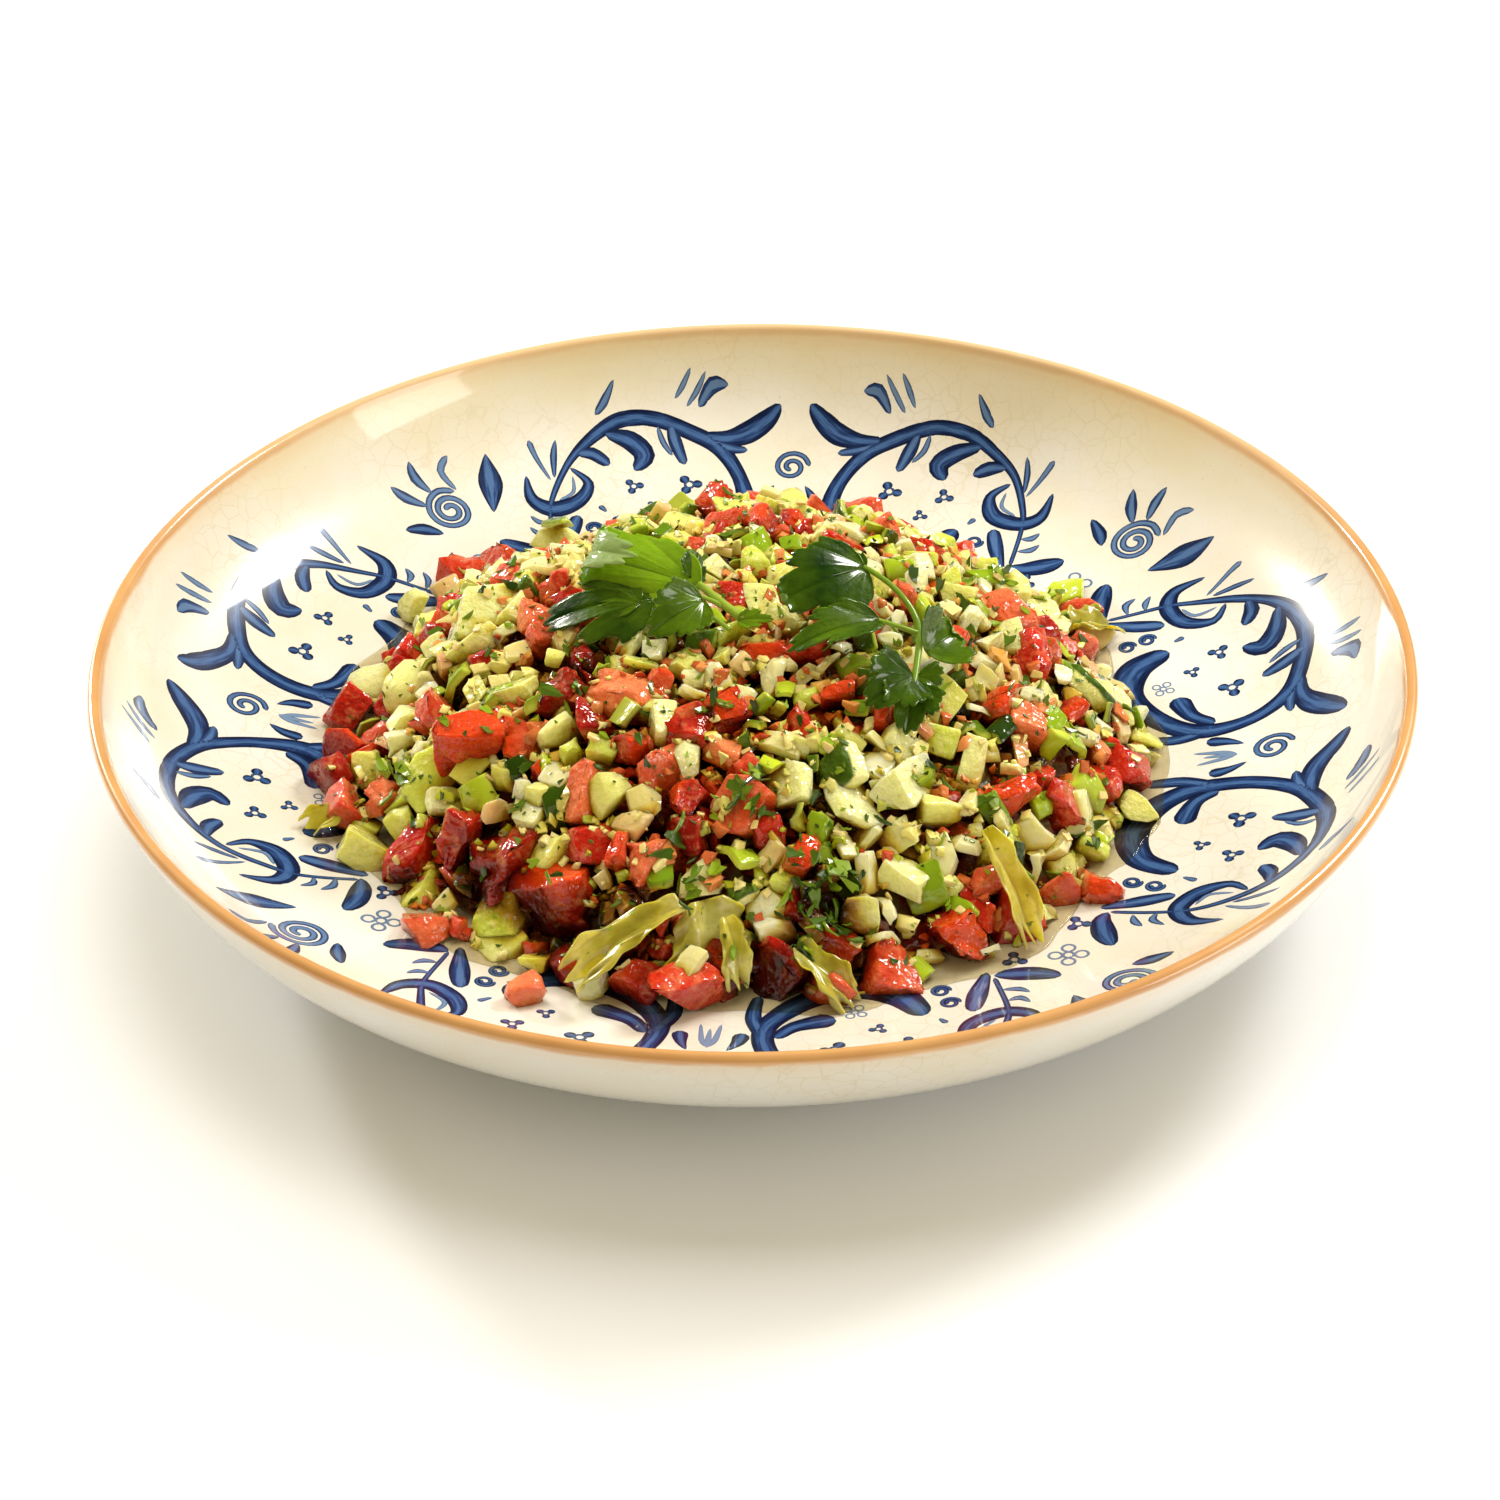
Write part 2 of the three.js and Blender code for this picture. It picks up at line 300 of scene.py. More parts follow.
# --- Painted scrollwork ------------------------------------------------------------
# Cobalt strokes brushed on the glaze in a ring: four pairs of leafy C scrolls that face
# each other over a small spiral, with a spiral flower between the pairs. Each stroke is
# a thin raised layer of paint, dark at its edges and watery in its middle.
paint_turn = math.radians(-5.2)
paint_proud = 0.00006
paint_sunk = 0.00010
paint_step = 0.0013
paint_creep = 0.00002
paint_finest = 0.0003
paint_edge_share = 0.45
paint_random = random.Random(41)
across_points = (-1.0, -0.55, 0.0, 0.55, 1.0)

paint_corners = []
paint_normals = []
paint_faces = []
paint_across = []
paint_along = []
paint_wash = []


def paint_corner(x, y, proud, across):
    """A corner of a stroke, standing proud of the glaze but shaded as smoothly as it."""
    r = math.hypot(x, y)
    slope = inner_slope(r)
    normal = Vector((-slope * x / r, -slope * y / r, 1.0)).normalized()
    paint_corners.append(Vector((x, y, inner_height(r))) + proud * normal)
    paint_normals.append(normal)
    paint_across.append(across)


def smooth_line(points, step):
    """A smooth curve through the points, in steps of about the given length."""
    dense = []
    ends = [points[0]] + list(points) + [points[-1]]
    for before, start, end, after in zip(ends, ends[1:], ends[2:], ends[3:]):
        parts = max(2, math.ceil(math.dist(start[:2], end[:2]) / step))
        for part in range(parts):
            t = part / parts
            dense.append(tuple(
                0.5 * (2 * b + (c - a) * t + (2 * a - 5 * b + 4 * c - d) * t * t
                       + (3 * b - a - 3 * c + d) * t ** 3)
                for a, b, c, d in zip(before, start, end, after)
            ))
    dense.append(tuple(points[-1]))
    return dense


def brush(points, wash=0.0):
    """One stroke through (x, y, width) points, with rounded ends."""
    reach = sum(math.dist(a[:2], b[:2]) for a, b in zip(points, points[1:]))
    line = smooth_line(points, min(paint_step, reach / 6))
    lengths = [0.0]
    for here, there in zip(line, line[1:]):
        lengths.append(lengths[-1] + math.dist(here[:2], there[:2]))
    total = lengths[-1]
    first = len(paint_corners)
    per_ring = len(across_points) + 2
    last_ring = {}
    for i, (x, y, width) in enumerate(line):
        ahead = line[min(i + 1, len(line) - 1)]
        behind = line[max(i - 1, 0)]
        heading = Vector((ahead[0] - behind[0], ahead[1] - behind[1]))
        if heading.length < 1e-9:
            heading = Vector((1.0, 0.0))
        heading.normalize()
        side = Vector((-heading.y, heading.x))
        half = max(width, paint_finest) / 2
        from_end = min(lengths[i], total - lengths[i])
        if from_end < half:
            half *= math.sqrt(max(0.08, 1 - (1 - from_end / half) ** 2))
        # inside a tight bend a stroke stays where it was, and doesn't fold back over itself
        ring = {}
        for across in across_points:
            place = Vector((x, y)) + side * across * half
            if i > 0 and (place - last_ring[across]).dot(heading) < paint_creep:
                place = last_ring[across] + heading * paint_creep
            ring[across] = place
            proud = paint_proud * (1.0 if abs(across) < 0.9 else paint_edge_share)
            paint_corner(place.x, place.y, proud, across)
        for across in (1.0, -1.0):
            paint_corner(ring[across].x, ring[across].y, -paint_sunk, across)
        last_ring = ring
        paint_along.extend([lengths[i]] * per_ring)
        paint_wash.extend([wash] * per_ring)
    for i in range(len(line) - 1):
        a = first + i * per_ring
        b = a + per_ring
        for k in range(per_ring):
            n = (k + 1) % per_ring
            paint_faces.append((a + k, b + k, b + n, a + n))
    last = first + (len(line) - 1) * per_ring
    paint_faces.append(tuple(first + k for k in range(per_ring)))
    paint_faces.append(tuple(last + k for k in reversed(range(per_ring))))


def at_polar(degrees, mm, turn, side):
    """A place by its degrees off a spiral and its distance from the dish's middle."""
    angle = turn + side * math.radians(degrees)
    return mm / 1000 * math.cos(angle), mm / 1000 * math.sin(angle)


def polar_stroke(turn, side, points, wash):
    """A stroke whose points are (degrees from the spiral, mm from the middle, mm wide)."""
    shaky = []
    for degrees, mm, width in points:
        x, y = at_polar(degrees, mm, turn, side)
        thick = width / 1000 * paint_random.uniform(0.9, 1.12)
        x += paint_random.uniform(-0.0003, 0.0003)
        y += paint_random.uniform(-0.0003, 0.0003)
        shaky.append((x, y, thick))
    brush(shaky, wash)


def loop_stroke(middle, radius, width, turns=1.0, tighten=1.0, begin=0.0, wash=0.0, side=1):
    """A ring, or a spiral that tightens as it turns, round a middle given in metres."""
    steps = max(8, round(9 * turns))
    points = []
    for i in range(steps + 1):
        t = i / steps
        a = begin + side * 2 * math.pi * turns * t
        r = radius * (1 - (1 - tighten) * t)
        points.append((middle[0] + r * math.cos(a), middle[1] + r * math.sin(a), width))
    brush(points, wash)


def trefoil(turn, side, degrees, mm, size):
    """Three small petals round an open centre."""
    middle = at_polar(degrees, mm, turn, side)
    out = turn + side * math.radians(degrees)
    loop_stroke(middle, 0.42 * size, 0.26 * size, begin=out)
    for k in range(3):
        a = out + 2 * math.pi * k / 3 + 0.5
        brush([
            (middle[0] + reach * size * math.cos(a), middle[1] + reach * size * math.sin(a), size)
            for reach in (0.3, 1.25)
        ])


def outlined_flower(turn, side, degrees, mm, size):
    """Four open petals drawn in a thin watery line, round a small ring."""
    middle = at_polar(degrees, mm, turn, side)
    out = turn + side * math.radians(degrees)
    loop_stroke(middle, 0.3 * size, 0.16 * size, begin=out, wash=0.45)
    for k in range(4):
        a = out + math.pi / 4 + math.pi * k / 2
        petal = (middle[0] + 0.72 * size * math.cos(a), middle[1] + 0.72 * size * math.sin(a))
        loop_stroke(petal, 0.36 * size, 0.15 * size, begin=a + math.pi, wash=0.45)


# Strokes of half a pair of scrolls. The other half is their mirror image.
scroll_spine = [
    (24.3, 93.4, 4.4), (22.8, 84.6, 6.4), (17.2, 80.2, 6.6), (10.2, 83.4, 5.4), (6.2, 91.0, 4.6),
    (6.3, 101.0, 3.9), (8.8, 109.6, 3.8), (12.4, 114.6, 3.5), (16.4, 117.6, 3.2), (20.4, 117.8, 2.8),
    (24.0, 115.2, 2.4), (27.4, 111.2, 1.9), (30.6, 104.4, 1.4), (32.6, 99.0, 1.1), (35.2, 88.4, 1.0),
]
scroll_strokes = [
    (scroll_spine, 0.0),
    # crown leaf that stands up at the junction, and the strokes that fan out above it
    ([(10.6, 113.0, 2.4), (7.8, 112.4, 3.8), (5.4, 113.6, 4.8), (3.2, 116.4, 4.4), (1.8, 119.2, 1.8)], 0.0),
    ([(10.6, 112.6, 1.6), (7.6, 110.2, 2.6), (5.4, 109.2, 1.2)], 0.1),
    ([(7.4, 122.4, 1.0), (9.2, 122.2, 2.6), (10.8, 119.2, 1.4)], 0.25),
    ([(9.8, 124.6, 0.5), (11.0, 122.2, 1.2), (12.2, 119.6, 0.7)], 0.45),
    ([(11.4, 125.2, 0.5), (12.4, 122.8, 1.2), (13.4, 120.6, 0.6)], 0.45),
    # branches that leave the spine towards the heap and into the scroll
    ([(6.4, 95.0, 3.0), (5.0, 87.0, 3.2), (5.6, 80.0, 2.4)], 0.05),
    ([(7.2, 94.6, 2.6), (9.6, 90.6, 3.6), (14.4, 89.0, 5.0)], 0.0),
    ([(14.4, 116.4, 1.6), (14.0, 112.0, 3.6), (13.4, 106.6, 1.8)], 0.12),
    ([(15.8, 116.0, 0.9), (15.6, 112.6, 1.6), (14.8, 109.2, 0.8)], 0.3),
    ([(22.0, 116.0, 1.8), (19.4, 113.4, 4.6), (18.0, 109.6, 4.8), (19.6, 106.4, 2.4)], 0.0),
    ([(26.0, 113.0, 1.4), (24.0, 111.8, 3.4), (22.6, 109.0, 2.6)], 0.05),
    # hook that clasps the stalk
    ([(27.2, 109.6, 0.9), (26.0, 105.0, 2.4), (27.9, 100.4, 3.9), (31.6, 99.9, 4.4), (33.6, 104.0, 3.2),
      (32.8, 110.4, 0.8)], 0.0),
    ([(27.6, 107.4, 0.5), (28.2, 103.2, 1.0), (30.4, 102.0, 0.6)], 0.5),
    # sprigs outside the stalk
    ([(27.8, 116.4, 0.6), (28.6, 113.0, 1.5), (29.6, 108.6, 0.8)], 0.15),
    ([(30.8, 117.4, 1.6), (30.8, 114.0, 1.4), (30.2, 107.8, 0.6)], 0.35),
    # twigs and leaves at the stalk's inner end
    ([(33.4, 96.6, 0.5), (34.6, 97.4, 1.6), (35.0, 99.8, 0.5)], 0.3),
    ([(34.4, 92.6, 0.5), (35.8, 94.2, 1.6), (36.2, 96.8, 0.5)], 0.3),
    ([(29.2, 96.4, 2.6), (31.4, 91.6, 4.0), (35.0, 86.0, 1.6)], 0.1),
    ([(35.4, 88.0, 1.2), (37.4, 89.2, 4.0), (39.6, 92.4, 4.6), (41.0, 96.0, 2.2)], 0.0),
    # teardrops beside the spiral
    ([(2.0, 99.4, 0.5), (3.0, 96.2, 2.4), (3.6, 92.4, 3.4)], 0.0),
    # small mark outside the scroll
    ([(20.0, 124.4, 0.5), (21.2, 121.8, 1.8), (22.6, 119.9, 1.0)], 0.3),
    ([(25.4, 95.6, 0.7), (25.8, 98.0, 1.6)], 0.2),
]

for quarter in range(4):
    turn = paint_turn + quarter * math.pi / 2
    for side in (1, -1):
        for points, wash in scroll_strokes:
            polar_stroke(turn, side, points, wash)
        trefoil(turn, side, 13.2, 100.4, 0.0024)
        trefoil(turn, side, 20.4, 101.8, 0.0019)
        trefoil(turn, side, 18.6, 94.8, 0.0015)
        trefoil(turn, side, 39.4, 85.6, 0.0021)
        for degrees, mm in ((28.2, 86.8), (28.0, 91.4)):
            loop_stroke(at_polar(degrees, mm, turn, side), 0.0019, 0.0009, 1.6, 0.3, side=side)
    # the spiral between the two scrolls, and the watery plume inward of it
    loop_stroke(at_polar(0, 104.9, turn, 1), 0.0042, 0.0013, 1.75, 0.16, wash=0.15)
    for lean in (-1.3, 0.0, 1.3):
        polar_stroke(turn, 1, [(lean, 91.0 - abs(lean), 0.5), (lean * 0.5, 95.4, 1.2), (0, 98.0, 0.5)], 0.6)
    # the flower group between the pairs: diamond leaf, spiral flower, small triangle
    polar_stroke(turn, 1, [(36.2, 117.6, 0.6), (37.4, 111.4, 5.6), (39.0, 104.0, 0.6)], 0.08)
    flower = at_polar(43.8, 108.2, turn, 1)
    loop_stroke(flower, 0.0054, 0.0015, 2.3, 0.16, begin=turn, wash=0.3)
    polar_stroke(turn, 1, [(41.6, 112.6, 0.9), (42.0, 117.0, 1.8), (40.6, 119.2, 1.0)], 0.4)
    polar_stroke(turn, 1, [(44.6, 113.6, 0.9), (45.2, 117.4, 2.4), (45.0, 120.4, 0.9)], 0.25)
    polar_stroke(turn, 1, [(46.0, 111.6, 0.9), (47.6, 114.6, 2.6), (48.6, 117.6, 0.9)], 0.2)
    polar_stroke(turn, 1, [(46.8, 103.8, 1.0), (48.4, 106.2, 3.4), (50.4, 108.4, 1.2)], 0.0)
    outlined_flower(turn, 1, 44.6, 91.6, 0.0034)
    outlined_flower(turn, 1, 17.0, 87.6, 0.0022)


def select_only(piece):
    """Select one piece and make it the one that operators act on."""
    bpy.ops.object.select_all(action="DESELECT")
    piece.select_set(True)
    bpy.context.view_layer.objects.active = piece


def carry(mesh, name, values):
    """Let each corner of a mesh carry a value, for its finish to read."""
    mesh.attributes.new(name, "FLOAT", "POINT").data.foreach_set("value", values)


paint_mesh = bpy.data.meshes.new("painted_scrollwork")
paint_mesh.from_pydata(paint_corners, [], paint_faces)
for name, values in (("across", paint_across), ("along", paint_along), ("wash", paint_wash)):
    carry(paint_mesh, name, values)
scrollwork = bpy.data.objects.new("painted_scrollwork", paint_mesh)
bpy.context.scene.collection.objects.link(scrollwork)
select_only(scrollwork)
bpy.ops.object.shade_smooth()
paint_mesh.normals_split_custom_set_from_vertices(paint_normals)

cobalt_dark = (0.003, 0.010, 0.050)
cobalt_mid = (0.012, 0.042, 0.16)
cobalt_thin = (0.050, 0.13, 0.34)
cobalt_water = (0.24, 0.36, 0.52)


def cobalt_paint():
    """Cobalt under the glaze: it pools dark at a stroke's edges and thins in its middle."""
    finish = Finish("cobalt_brushwork", 0.3, coat=0.9)
    across = finish.carried("across")
    wash = finish.carried("wash")
    edge = finish.maths("MULTIPLY", finish.maths("ABSOLUTE", across), 1.15)
    streak_place = finish.node("ShaderNodeCombineXYZ", {
        "X": finish.maths("MULTIPLY", across, 2.6),
        "Y": finish.maths("MULTIPLY", finish.carried("along"), 90.0),
    })
    streak = finish.maths("MULTIPLY", finish.noise(1.7, 3.0, streak_place.outputs["Vector"]), 1.7)
    thin = finish.maths("SUBTRACT", streak, edge)
    thinned = finish.maths("ADD", thin, finish.maths("MULTIPLY", wash, 1.1))
    mottle = finish.maths("MULTIPLY", finish.noise(260.0, 4.0), 0.5)
    share = finish.maths("ADD", thinned, mottle)
    tone = finish.ramp(share, [(0.25, cobalt_dark), (0.62, cobalt_mid), (1.0, cobalt_thin)])
    water = finish.ramp(share, [(0.7, 0.0), (1.0, 1.0)])
    finish.colour(finish.mix(finish.maths("MULTIPLY", water, wash), tone, cobalt_water))
    finish.relief(finish.noise(55.0, 2.0), 0.0005, 0.35)
    return finish.material


scrollwork.data.materials.append(cobalt_paint())
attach(scrollwork, "root")


# --- Salad heap, its core ----------------------------------------------------------
# The heap is chopped salad, tipped in the dish and heaped by hand: several hundred wet
# pieces. Under them lies a core of juice and minced bits, its colour kept very dark as
# painted shade where it shows between the pieces; it is one lumpy mound that stays a
# dice deep below the heap's outline.
heap_radius = 0.084
heap_rise = 0.0385
heap_edge_stand = 0.0035
core_depth = 0.0075
core_sides = 120


def heap_edge(angle):
    """How far out the heap reaches, unevenly and a little further to the left."""
    lean = -0.0022 * math.cos(angle)
    return heap_radius + lean + 0.0012 * math.cos(7 * angle + 1.1) + 0.0012 * math.cos(13 * angle - 0.7)


def heap_top(x, y):
    """Height of the heap's outline over a point of the dish."""
    r = math.hypot(x, y)
    share = min(r / heap_edge(math.atan2(y, x)), 1.0)
    dome = floor_top + heap_rise * (1 - share ** 3)
    return max(dome, inner_height(min(r, 0.12)) + heap_edge_stand)


core_radius = heap_radius - 0.007
core_steps = 26
core_off_glaze = 0.0012
core_underside = 0.0004
core_rings = [(0.002, heap_top(0, 0) - core_depth)]
for step in range(1, core_steps + 1):
    r = core_radius * step / core_steps
    under = heap_top(r, 0) - core_depth
    core_rings.append((r, max(under, inner_height(r) + core_off_glaze)))
core_rings.append((core_radius, inner_height(heap_radius) + core_underside))
for r in (0.06, 0.03, 0.004):
    core_rings.append((r, inner_height(r) + core_underside))
core = turn_rings("salad_core", core_sides, core_rings)
for corner in core.data.vertices:
    place = corner.co.copy()
    lumps = noise.noise(place * 150.0) * 0.0022 + noise.noise(place * 420.0) * 0.0012
    if corner.co.z > inner_height(corner.co.xy.length) + 0.001:
        corner.co.z += lumps


def mince_and_shade_finish():
    """Minced bits soaked in juice: dark red, with brown and green grains, kept very dark as
    painted shade in the gaps between the pieces.
    """
    finish = Finish("minced_core", 0.35, coat=0.6)
    finish.colour(finish.ramp(finish.noise(260.0, 3.0), [
        (0.30, (0.07, 0.004, 0.002)), (0.45, (0.16, 0.018, 0.006)),
        (0.55, (0.15, 0.09, 0.015)), (0.70, (0.05, 0.05, 0.006)),
    ]))
    finish.relief(finish.noise(500.0, 3.0), 0.001, 0.8)
    return finish.material


core.data.materials.append(mince_and_shade_finish())
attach(core, "root")
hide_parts("salad_heap")


# --- Chopped tomato ----------------------------------------------------------------
# Ripe tomato cut by hand in uneven chunks, 5 to 15 mm: pink or deep red wet flesh, some
# with the smooth orange-red skin left on one side. Each chunk is a dice pulled out of
# true at its eight corners, laid on the heap where there is room.
salad_random = random.Random(23)
laid_pieces = {}
laid_cell = 0.016
piece_reach = 0.46


def lay(place, reach):
    """Note where a piece lies, so that others keep their distance."""
    key = tuple(math.floor(c / laid_cell) for c in place)
    laid_pieces.setdefault(key, []).append((place, reach))


sight_start = 0.50
sight_end = 0.85


def sight_points(u, v, step):
    """Points along the camera's sight of a pixel of the photograph, over the dish."""
    right = (u - rim_pixel[0]) / picture_focal
    up = (rim_pixel[1] - v) / picture_focal
    heading = (camera_turn.to_3x3() @ Vector((right, up, -1.0))).normalized()
    reach = sight_start
    while reach < sight_end:
        yield camera_place + heading * reach
        reach += step


def on_heap(u, v, sink=0.0):
    """The point where a pixel meets the heap, sunk below its outline. Past the crest, a
    piece stands on the crest itself, so the heap is taken a little higher for it."""
    for raised in range(0, 16, 2):
        for point in sight_points(u, v, 0.001):
            r = math.hypot(point.x, point.y)
            if r < heap_radius + 0.006 and point.z < heap_top(point.x, point.y) + raised / 1000 - sink:
                return point
    raise ValueError("that pixel misses the heap")


def heap_normal(x, y):
    """The way the heap's outline faces over a point of the dish."""
    step = 0.002
    east = heap_top(x + step, y) - heap_top(x - step, y)
    north = heap_top(x, y + step) - heap_top(x, y - step)
    return Vector((-east, -north, 2 * step)).normalized()


def flat_turn(normal, lean=0.45):
    """A turn that lays a piece on the heap, leaning a little any way."""
    spin = Matrix.Rotation(salad_random.uniform(0, 2 * math.pi), 3, "Z")
    tip_x = Matrix.Rotation(salad_random.gauss(0, lean), 3, "X")
    tip_y = Matrix.Rotation(salad_random.gauss(0, lean), 3, "Y")
    return normal.to_track_quat("Z", "Y").to_matrix() @ tip_x @ tip_y @ spin


def cut_dice(name, cuts, border, roundness):
    """A cube cut in a grid, its outer cuts pushed out to make rounded edges."""
    bpy.ops.object.select_all(action="DESELECT")
    bpy.ops.mesh.primitive_cube_add(size=1.0, location=(0, 0, 0))
    piece = bpy.context.object
    piece.name = name
    bpy.ops.object.mode_set(mode="EDIT")
    bpy.ops.mesh.select_all(action="SELECT")
    bpy.ops.mesh.subdivide(number_cuts=cuts)
    bpy.ops.object.mode_set(mode="OBJECT")
    outer_cut = 0.5 - 1.0 / (cuts + 1)
    for corner in piece.data.vertices:
        place = corner.co
        for axis in range(3):
            if abs(abs(place[axis]) - outer_cut) < 0.01:
                place[axis] = math.copysign(0.5 - border, place[axis])
        power = sum(abs(2 * c) ** roundness for c in place) ** (1 / roundness)
        largest = max(abs(2 * c) for c in place)
        corner.co = place * (largest / power)
    return piece


class Template:
    """One cut shape, taken off its object so that it can be copied and joined. It may be
    thinned, squeezed to a wedge or curled to a crescent; its top face carries the skin."""

    def __init__(self, piece, thick=1.0, squeeze=0.0, curl=0.0):
        corners = np.array([corner.co[:] for corner in piece.data.vertices])
        self.faces = [tuple(face.vertices) for face in piece.data.polygons]
        self.skin = np.clip((corners[:, 2] - 0.30) / 0.12, 0, 1)
        corners[:, 1] *= 1 - squeeze * (corners[:, 2] + 0.5)
        corners[:, 2] = thick * corners[:, 2] - curl * corners[:, 0] ** 2
        self.corners = corners
        bpy.data.objects.remove(piece)


def pulled(corners, pull, rough, chance):
    """The shape with its eight corners pulled out of true, and its surface roughened."""
    offsets = chance.uniform(-pull, pull, (2, 2, 2, 3))
    t = np.clip(corners + 0.5, 0, 1)
    moved = corners.copy()
    for which in np.ndindex(2, 2, 2):
        weight = np.prod(np.where(which, t, 1 - t), axis=1)
        moved += weight[:, None] * offsets[which]
    for slowest, fastest, part in ((3, 7, 1.0), (9, 16, 0.5)):
        wave = chance.uniform(slowest, fastest, (3, 3)) * chance.choice([-1, 1], (3, 3))
        moved += part * rough * np.sin(corners @ wave + chance.uniform(0, 6.3, 3))
    moved += chance.normal(0, rough * 0.40, corners.shape)
    # slanting knife cuts: what lies past the cut is pressed back on it
    for _ in range(chance.integers(1, 4)):
        way = chance.normal(0, 1, 3)
        way /= np.linalg.norm(way)
        past = np.maximum(moved @ way - chance.uniform(0.26, 0.48), 0)
        moved -= past[:, None] * way
    return moved


# painted shade, with juice standing in it, where the heap hangs over its foot or gapes:
# pixel and reach in mm
shade_and_juice_pools = [
    (480, 880, 7), (530, 900, 7), (560, 955, 6), (610, 925, 6), (752, 972, 7), (790, 975, 7),
    (826, 890, 8), (815, 938, 7), (640, 902, 5), (720, 946, 6), (872, 958, 5), (588, 655, 6),
    (700, 716, 5), (745, 722, 4), (760, 808, 4), (402, 878, 4),
]
shade_and_juice_pool_places = [(on_heap(u, v), reach / 1000) for u, v, reach in shade_and_juice_pools]
soak_start = 0.0008
soak_depth = 0.0050
shade_pool_strength = 1.3


def soaked_share(corners):
    """0 for what stands up out of the heap, 1 for what lies 6 mm down, and more in a pool:
    painted shade, with the juice that stands in it.
    """
    depths = np.array([(heap_top(x, y) - z - soak_start) / soak_depth for x, y, z in corners])
    pooled_shade = np.zeros(len(corners))
    for place, reach in shade_and_juice_pool_places:
        away = np.linalg.norm(corners - np.array(place), axis=1) / reach
        pooled_shade += np.exp(-away ** 4)
    return np.clip(depths, 0, 1) + shade_pool_strength * np.clip(pooled_shade, 0, 1)


def copy_of(template, place, turn, stretch, tone, pull, rough, skin=0.0):
    """One copy of a cut shape: where it lies, how large, and how far it is pulled out of true."""
    return template, place, turn, stretch, tone, skin, pull, rough


def join_copies(name, copies, material, smooth=True):
    """One mesh of all the copies, each pulled out of true in its own way."""
    chance = np.random.default_rng(len(name) * 101 + len(copies))
    corners = []
    faces = []
    tones = []
    skins = []
    first = 0
    for template, place, turn, stretch, tone, skin, pull, rough in copies:
        shape = pulled(template.corners, pull, rough, chance) * np.array(stretch)
        shape = shape @ np.array(turn).T + np.array(place)
        corners.append(shape)
        faces.extend(tuple(first + c for c in face) for face in template.faces)
        tones.append(np.full(len(shape), tone))
        skins.append(template.skin * skin)
        first += len(shape)
    mesh = bpy.data.meshes.new(name)
    mesh.from_pydata(np.concatenate(corners).tolist(), [], faces)
    carry(mesh, "tone", np.concatenate(tones))
    carry(mesh, "skin", np.concatenate(skins))
    # painted shade with juice: darker the deeper a corner lies in the heap, and in the pools
    carry(mesh, "soak", soaked_share(np.concatenate(corners)))
    piece = bpy.data.objects.new(name, mesh)
    bpy.context.scene.collection.objects.link(piece)
    select_only(piece)
    if smooth:
        bpy.ops.object.shade_smooth()
        bpy.ops.object.modifier_add(type="WEIGHTED_NORMAL")
        bpy.ops.object.modifier_apply(modifier=piece.modifiers[0].name)
    piece.data.materials.append(material)
    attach(piece, "root")
    return piece


soft_chunk = Template(cut_dice("soft_chunk", 3, 0.12, 5.0))
soft_wedge = Template(cut_dice("soft_wedge", 3, 0.10, 6.0), squeeze=0.65)
large_chunk = Template(cut_dice("large_chunk", 5, 0.06, 6.0))
large_wedge = Template(cut_dice("large_wedge", 5, 0.06, 7.0), squeeze=0.55)

# Tomato that shows in the photograph: pixel, size in mm, and how pink the flesh is; the
# deep red tones low at the front of the heap are partly painted shade.
seen_tomato = [
    (480, 742, 13, 0.35), (440, 722, 12, 0.45), (592, 668, 14, 0.10), (570, 700, 10, 0.05),
    (622, 698, 13, 0.90), (665, 775, 11, 0.60), (590, 797, 12, 0.75), (462, 842, 14, 0.10),
    (420, 855, 12, 0.20), (500, 862, 13, 0.08), (556, 905, 14, 0.05), (598, 842, 8, 0.25),
    (690, 985, 12, 0.30), (884, 978, 11, 0.50), (955, 932, 13, 0.20), (975, 905, 11, 0.25),
    (1118, 770, 12, 0.30), (1000, 800, 10, 0.45), (1062, 806, 11, 0.25), (1040, 785, 8, 0.30),
    (800, 727, 10, 0.30), (738, 603, 7, 0.35), (493, 572, 12, 0.40), (462, 585, 9, 0.50),
    (716, 512, 11, 0.40), (860, 522, 10, 0.55), (885, 540, 9, 0.60), (800, 655, 12, 0.35),
    (760, 655, 10, 0.30), (430, 930, 8, 0.62), (385, 803, 9, 0.80), (1100, 893, 9, 0.70),
    (720, 718, 12, 0.15), (690, 732, 9, 0.25), (745, 770, 8, 0.45), (650, 860, 9, 0.70),
    (1025, 665, 10, 0.30), (1000, 705, 9, 0.70), (965, 655, 8, 0.45), (930, 560, 10, 0.35),
    (1075, 620, 9, 0.55), (560, 590, 10, 0.45), (525, 745, 10, 0.50), (620, 850, 8, 0.60),
    (985, 880, 8, 0.60), (830, 955, 9, 0.45), (580, 965, 9, 0.15), (780, 970, 13, 0.02),
    (735, 960, 11, 0.05), (540, 640, 8, 0.55), (905, 600, 7, 0.60), (690, 800, 8, 0.10),
]
tomato_copies = []


def lay_seen(rows, copies, templates, depth, stretch_range, skin_chance, pull, rough):
    """Lay the pieces that show in the photograph, each at its pixel."""
    for u, v, size_mm, tone in rows:
        size = size_mm / 1000
        place = on_heap(u, v, depth * size)
        stretch = [size * salad_random.uniform(*stretch_range) for _ in range(3)]
        skin = 1.0 if salad_random.random() < skin_chance else 0.0
        turn = flat_turn(heap_normal(place.x, place.y), 0.5)
        template = salad_random.choice(templates)
        copies.append(copy_of(template, place, turn, stretch, tone, pull, rough, skin))
        lay(place, piece_reach * size)


lay_seen(
    seen_tomato, tomato_copies, (large_chunk, large_chunk, large_wedge),
    depth=0.30, stretch_range=(0.66, 1.10), skin_chance=0.25, pull=0.27, rough=0.055,
)

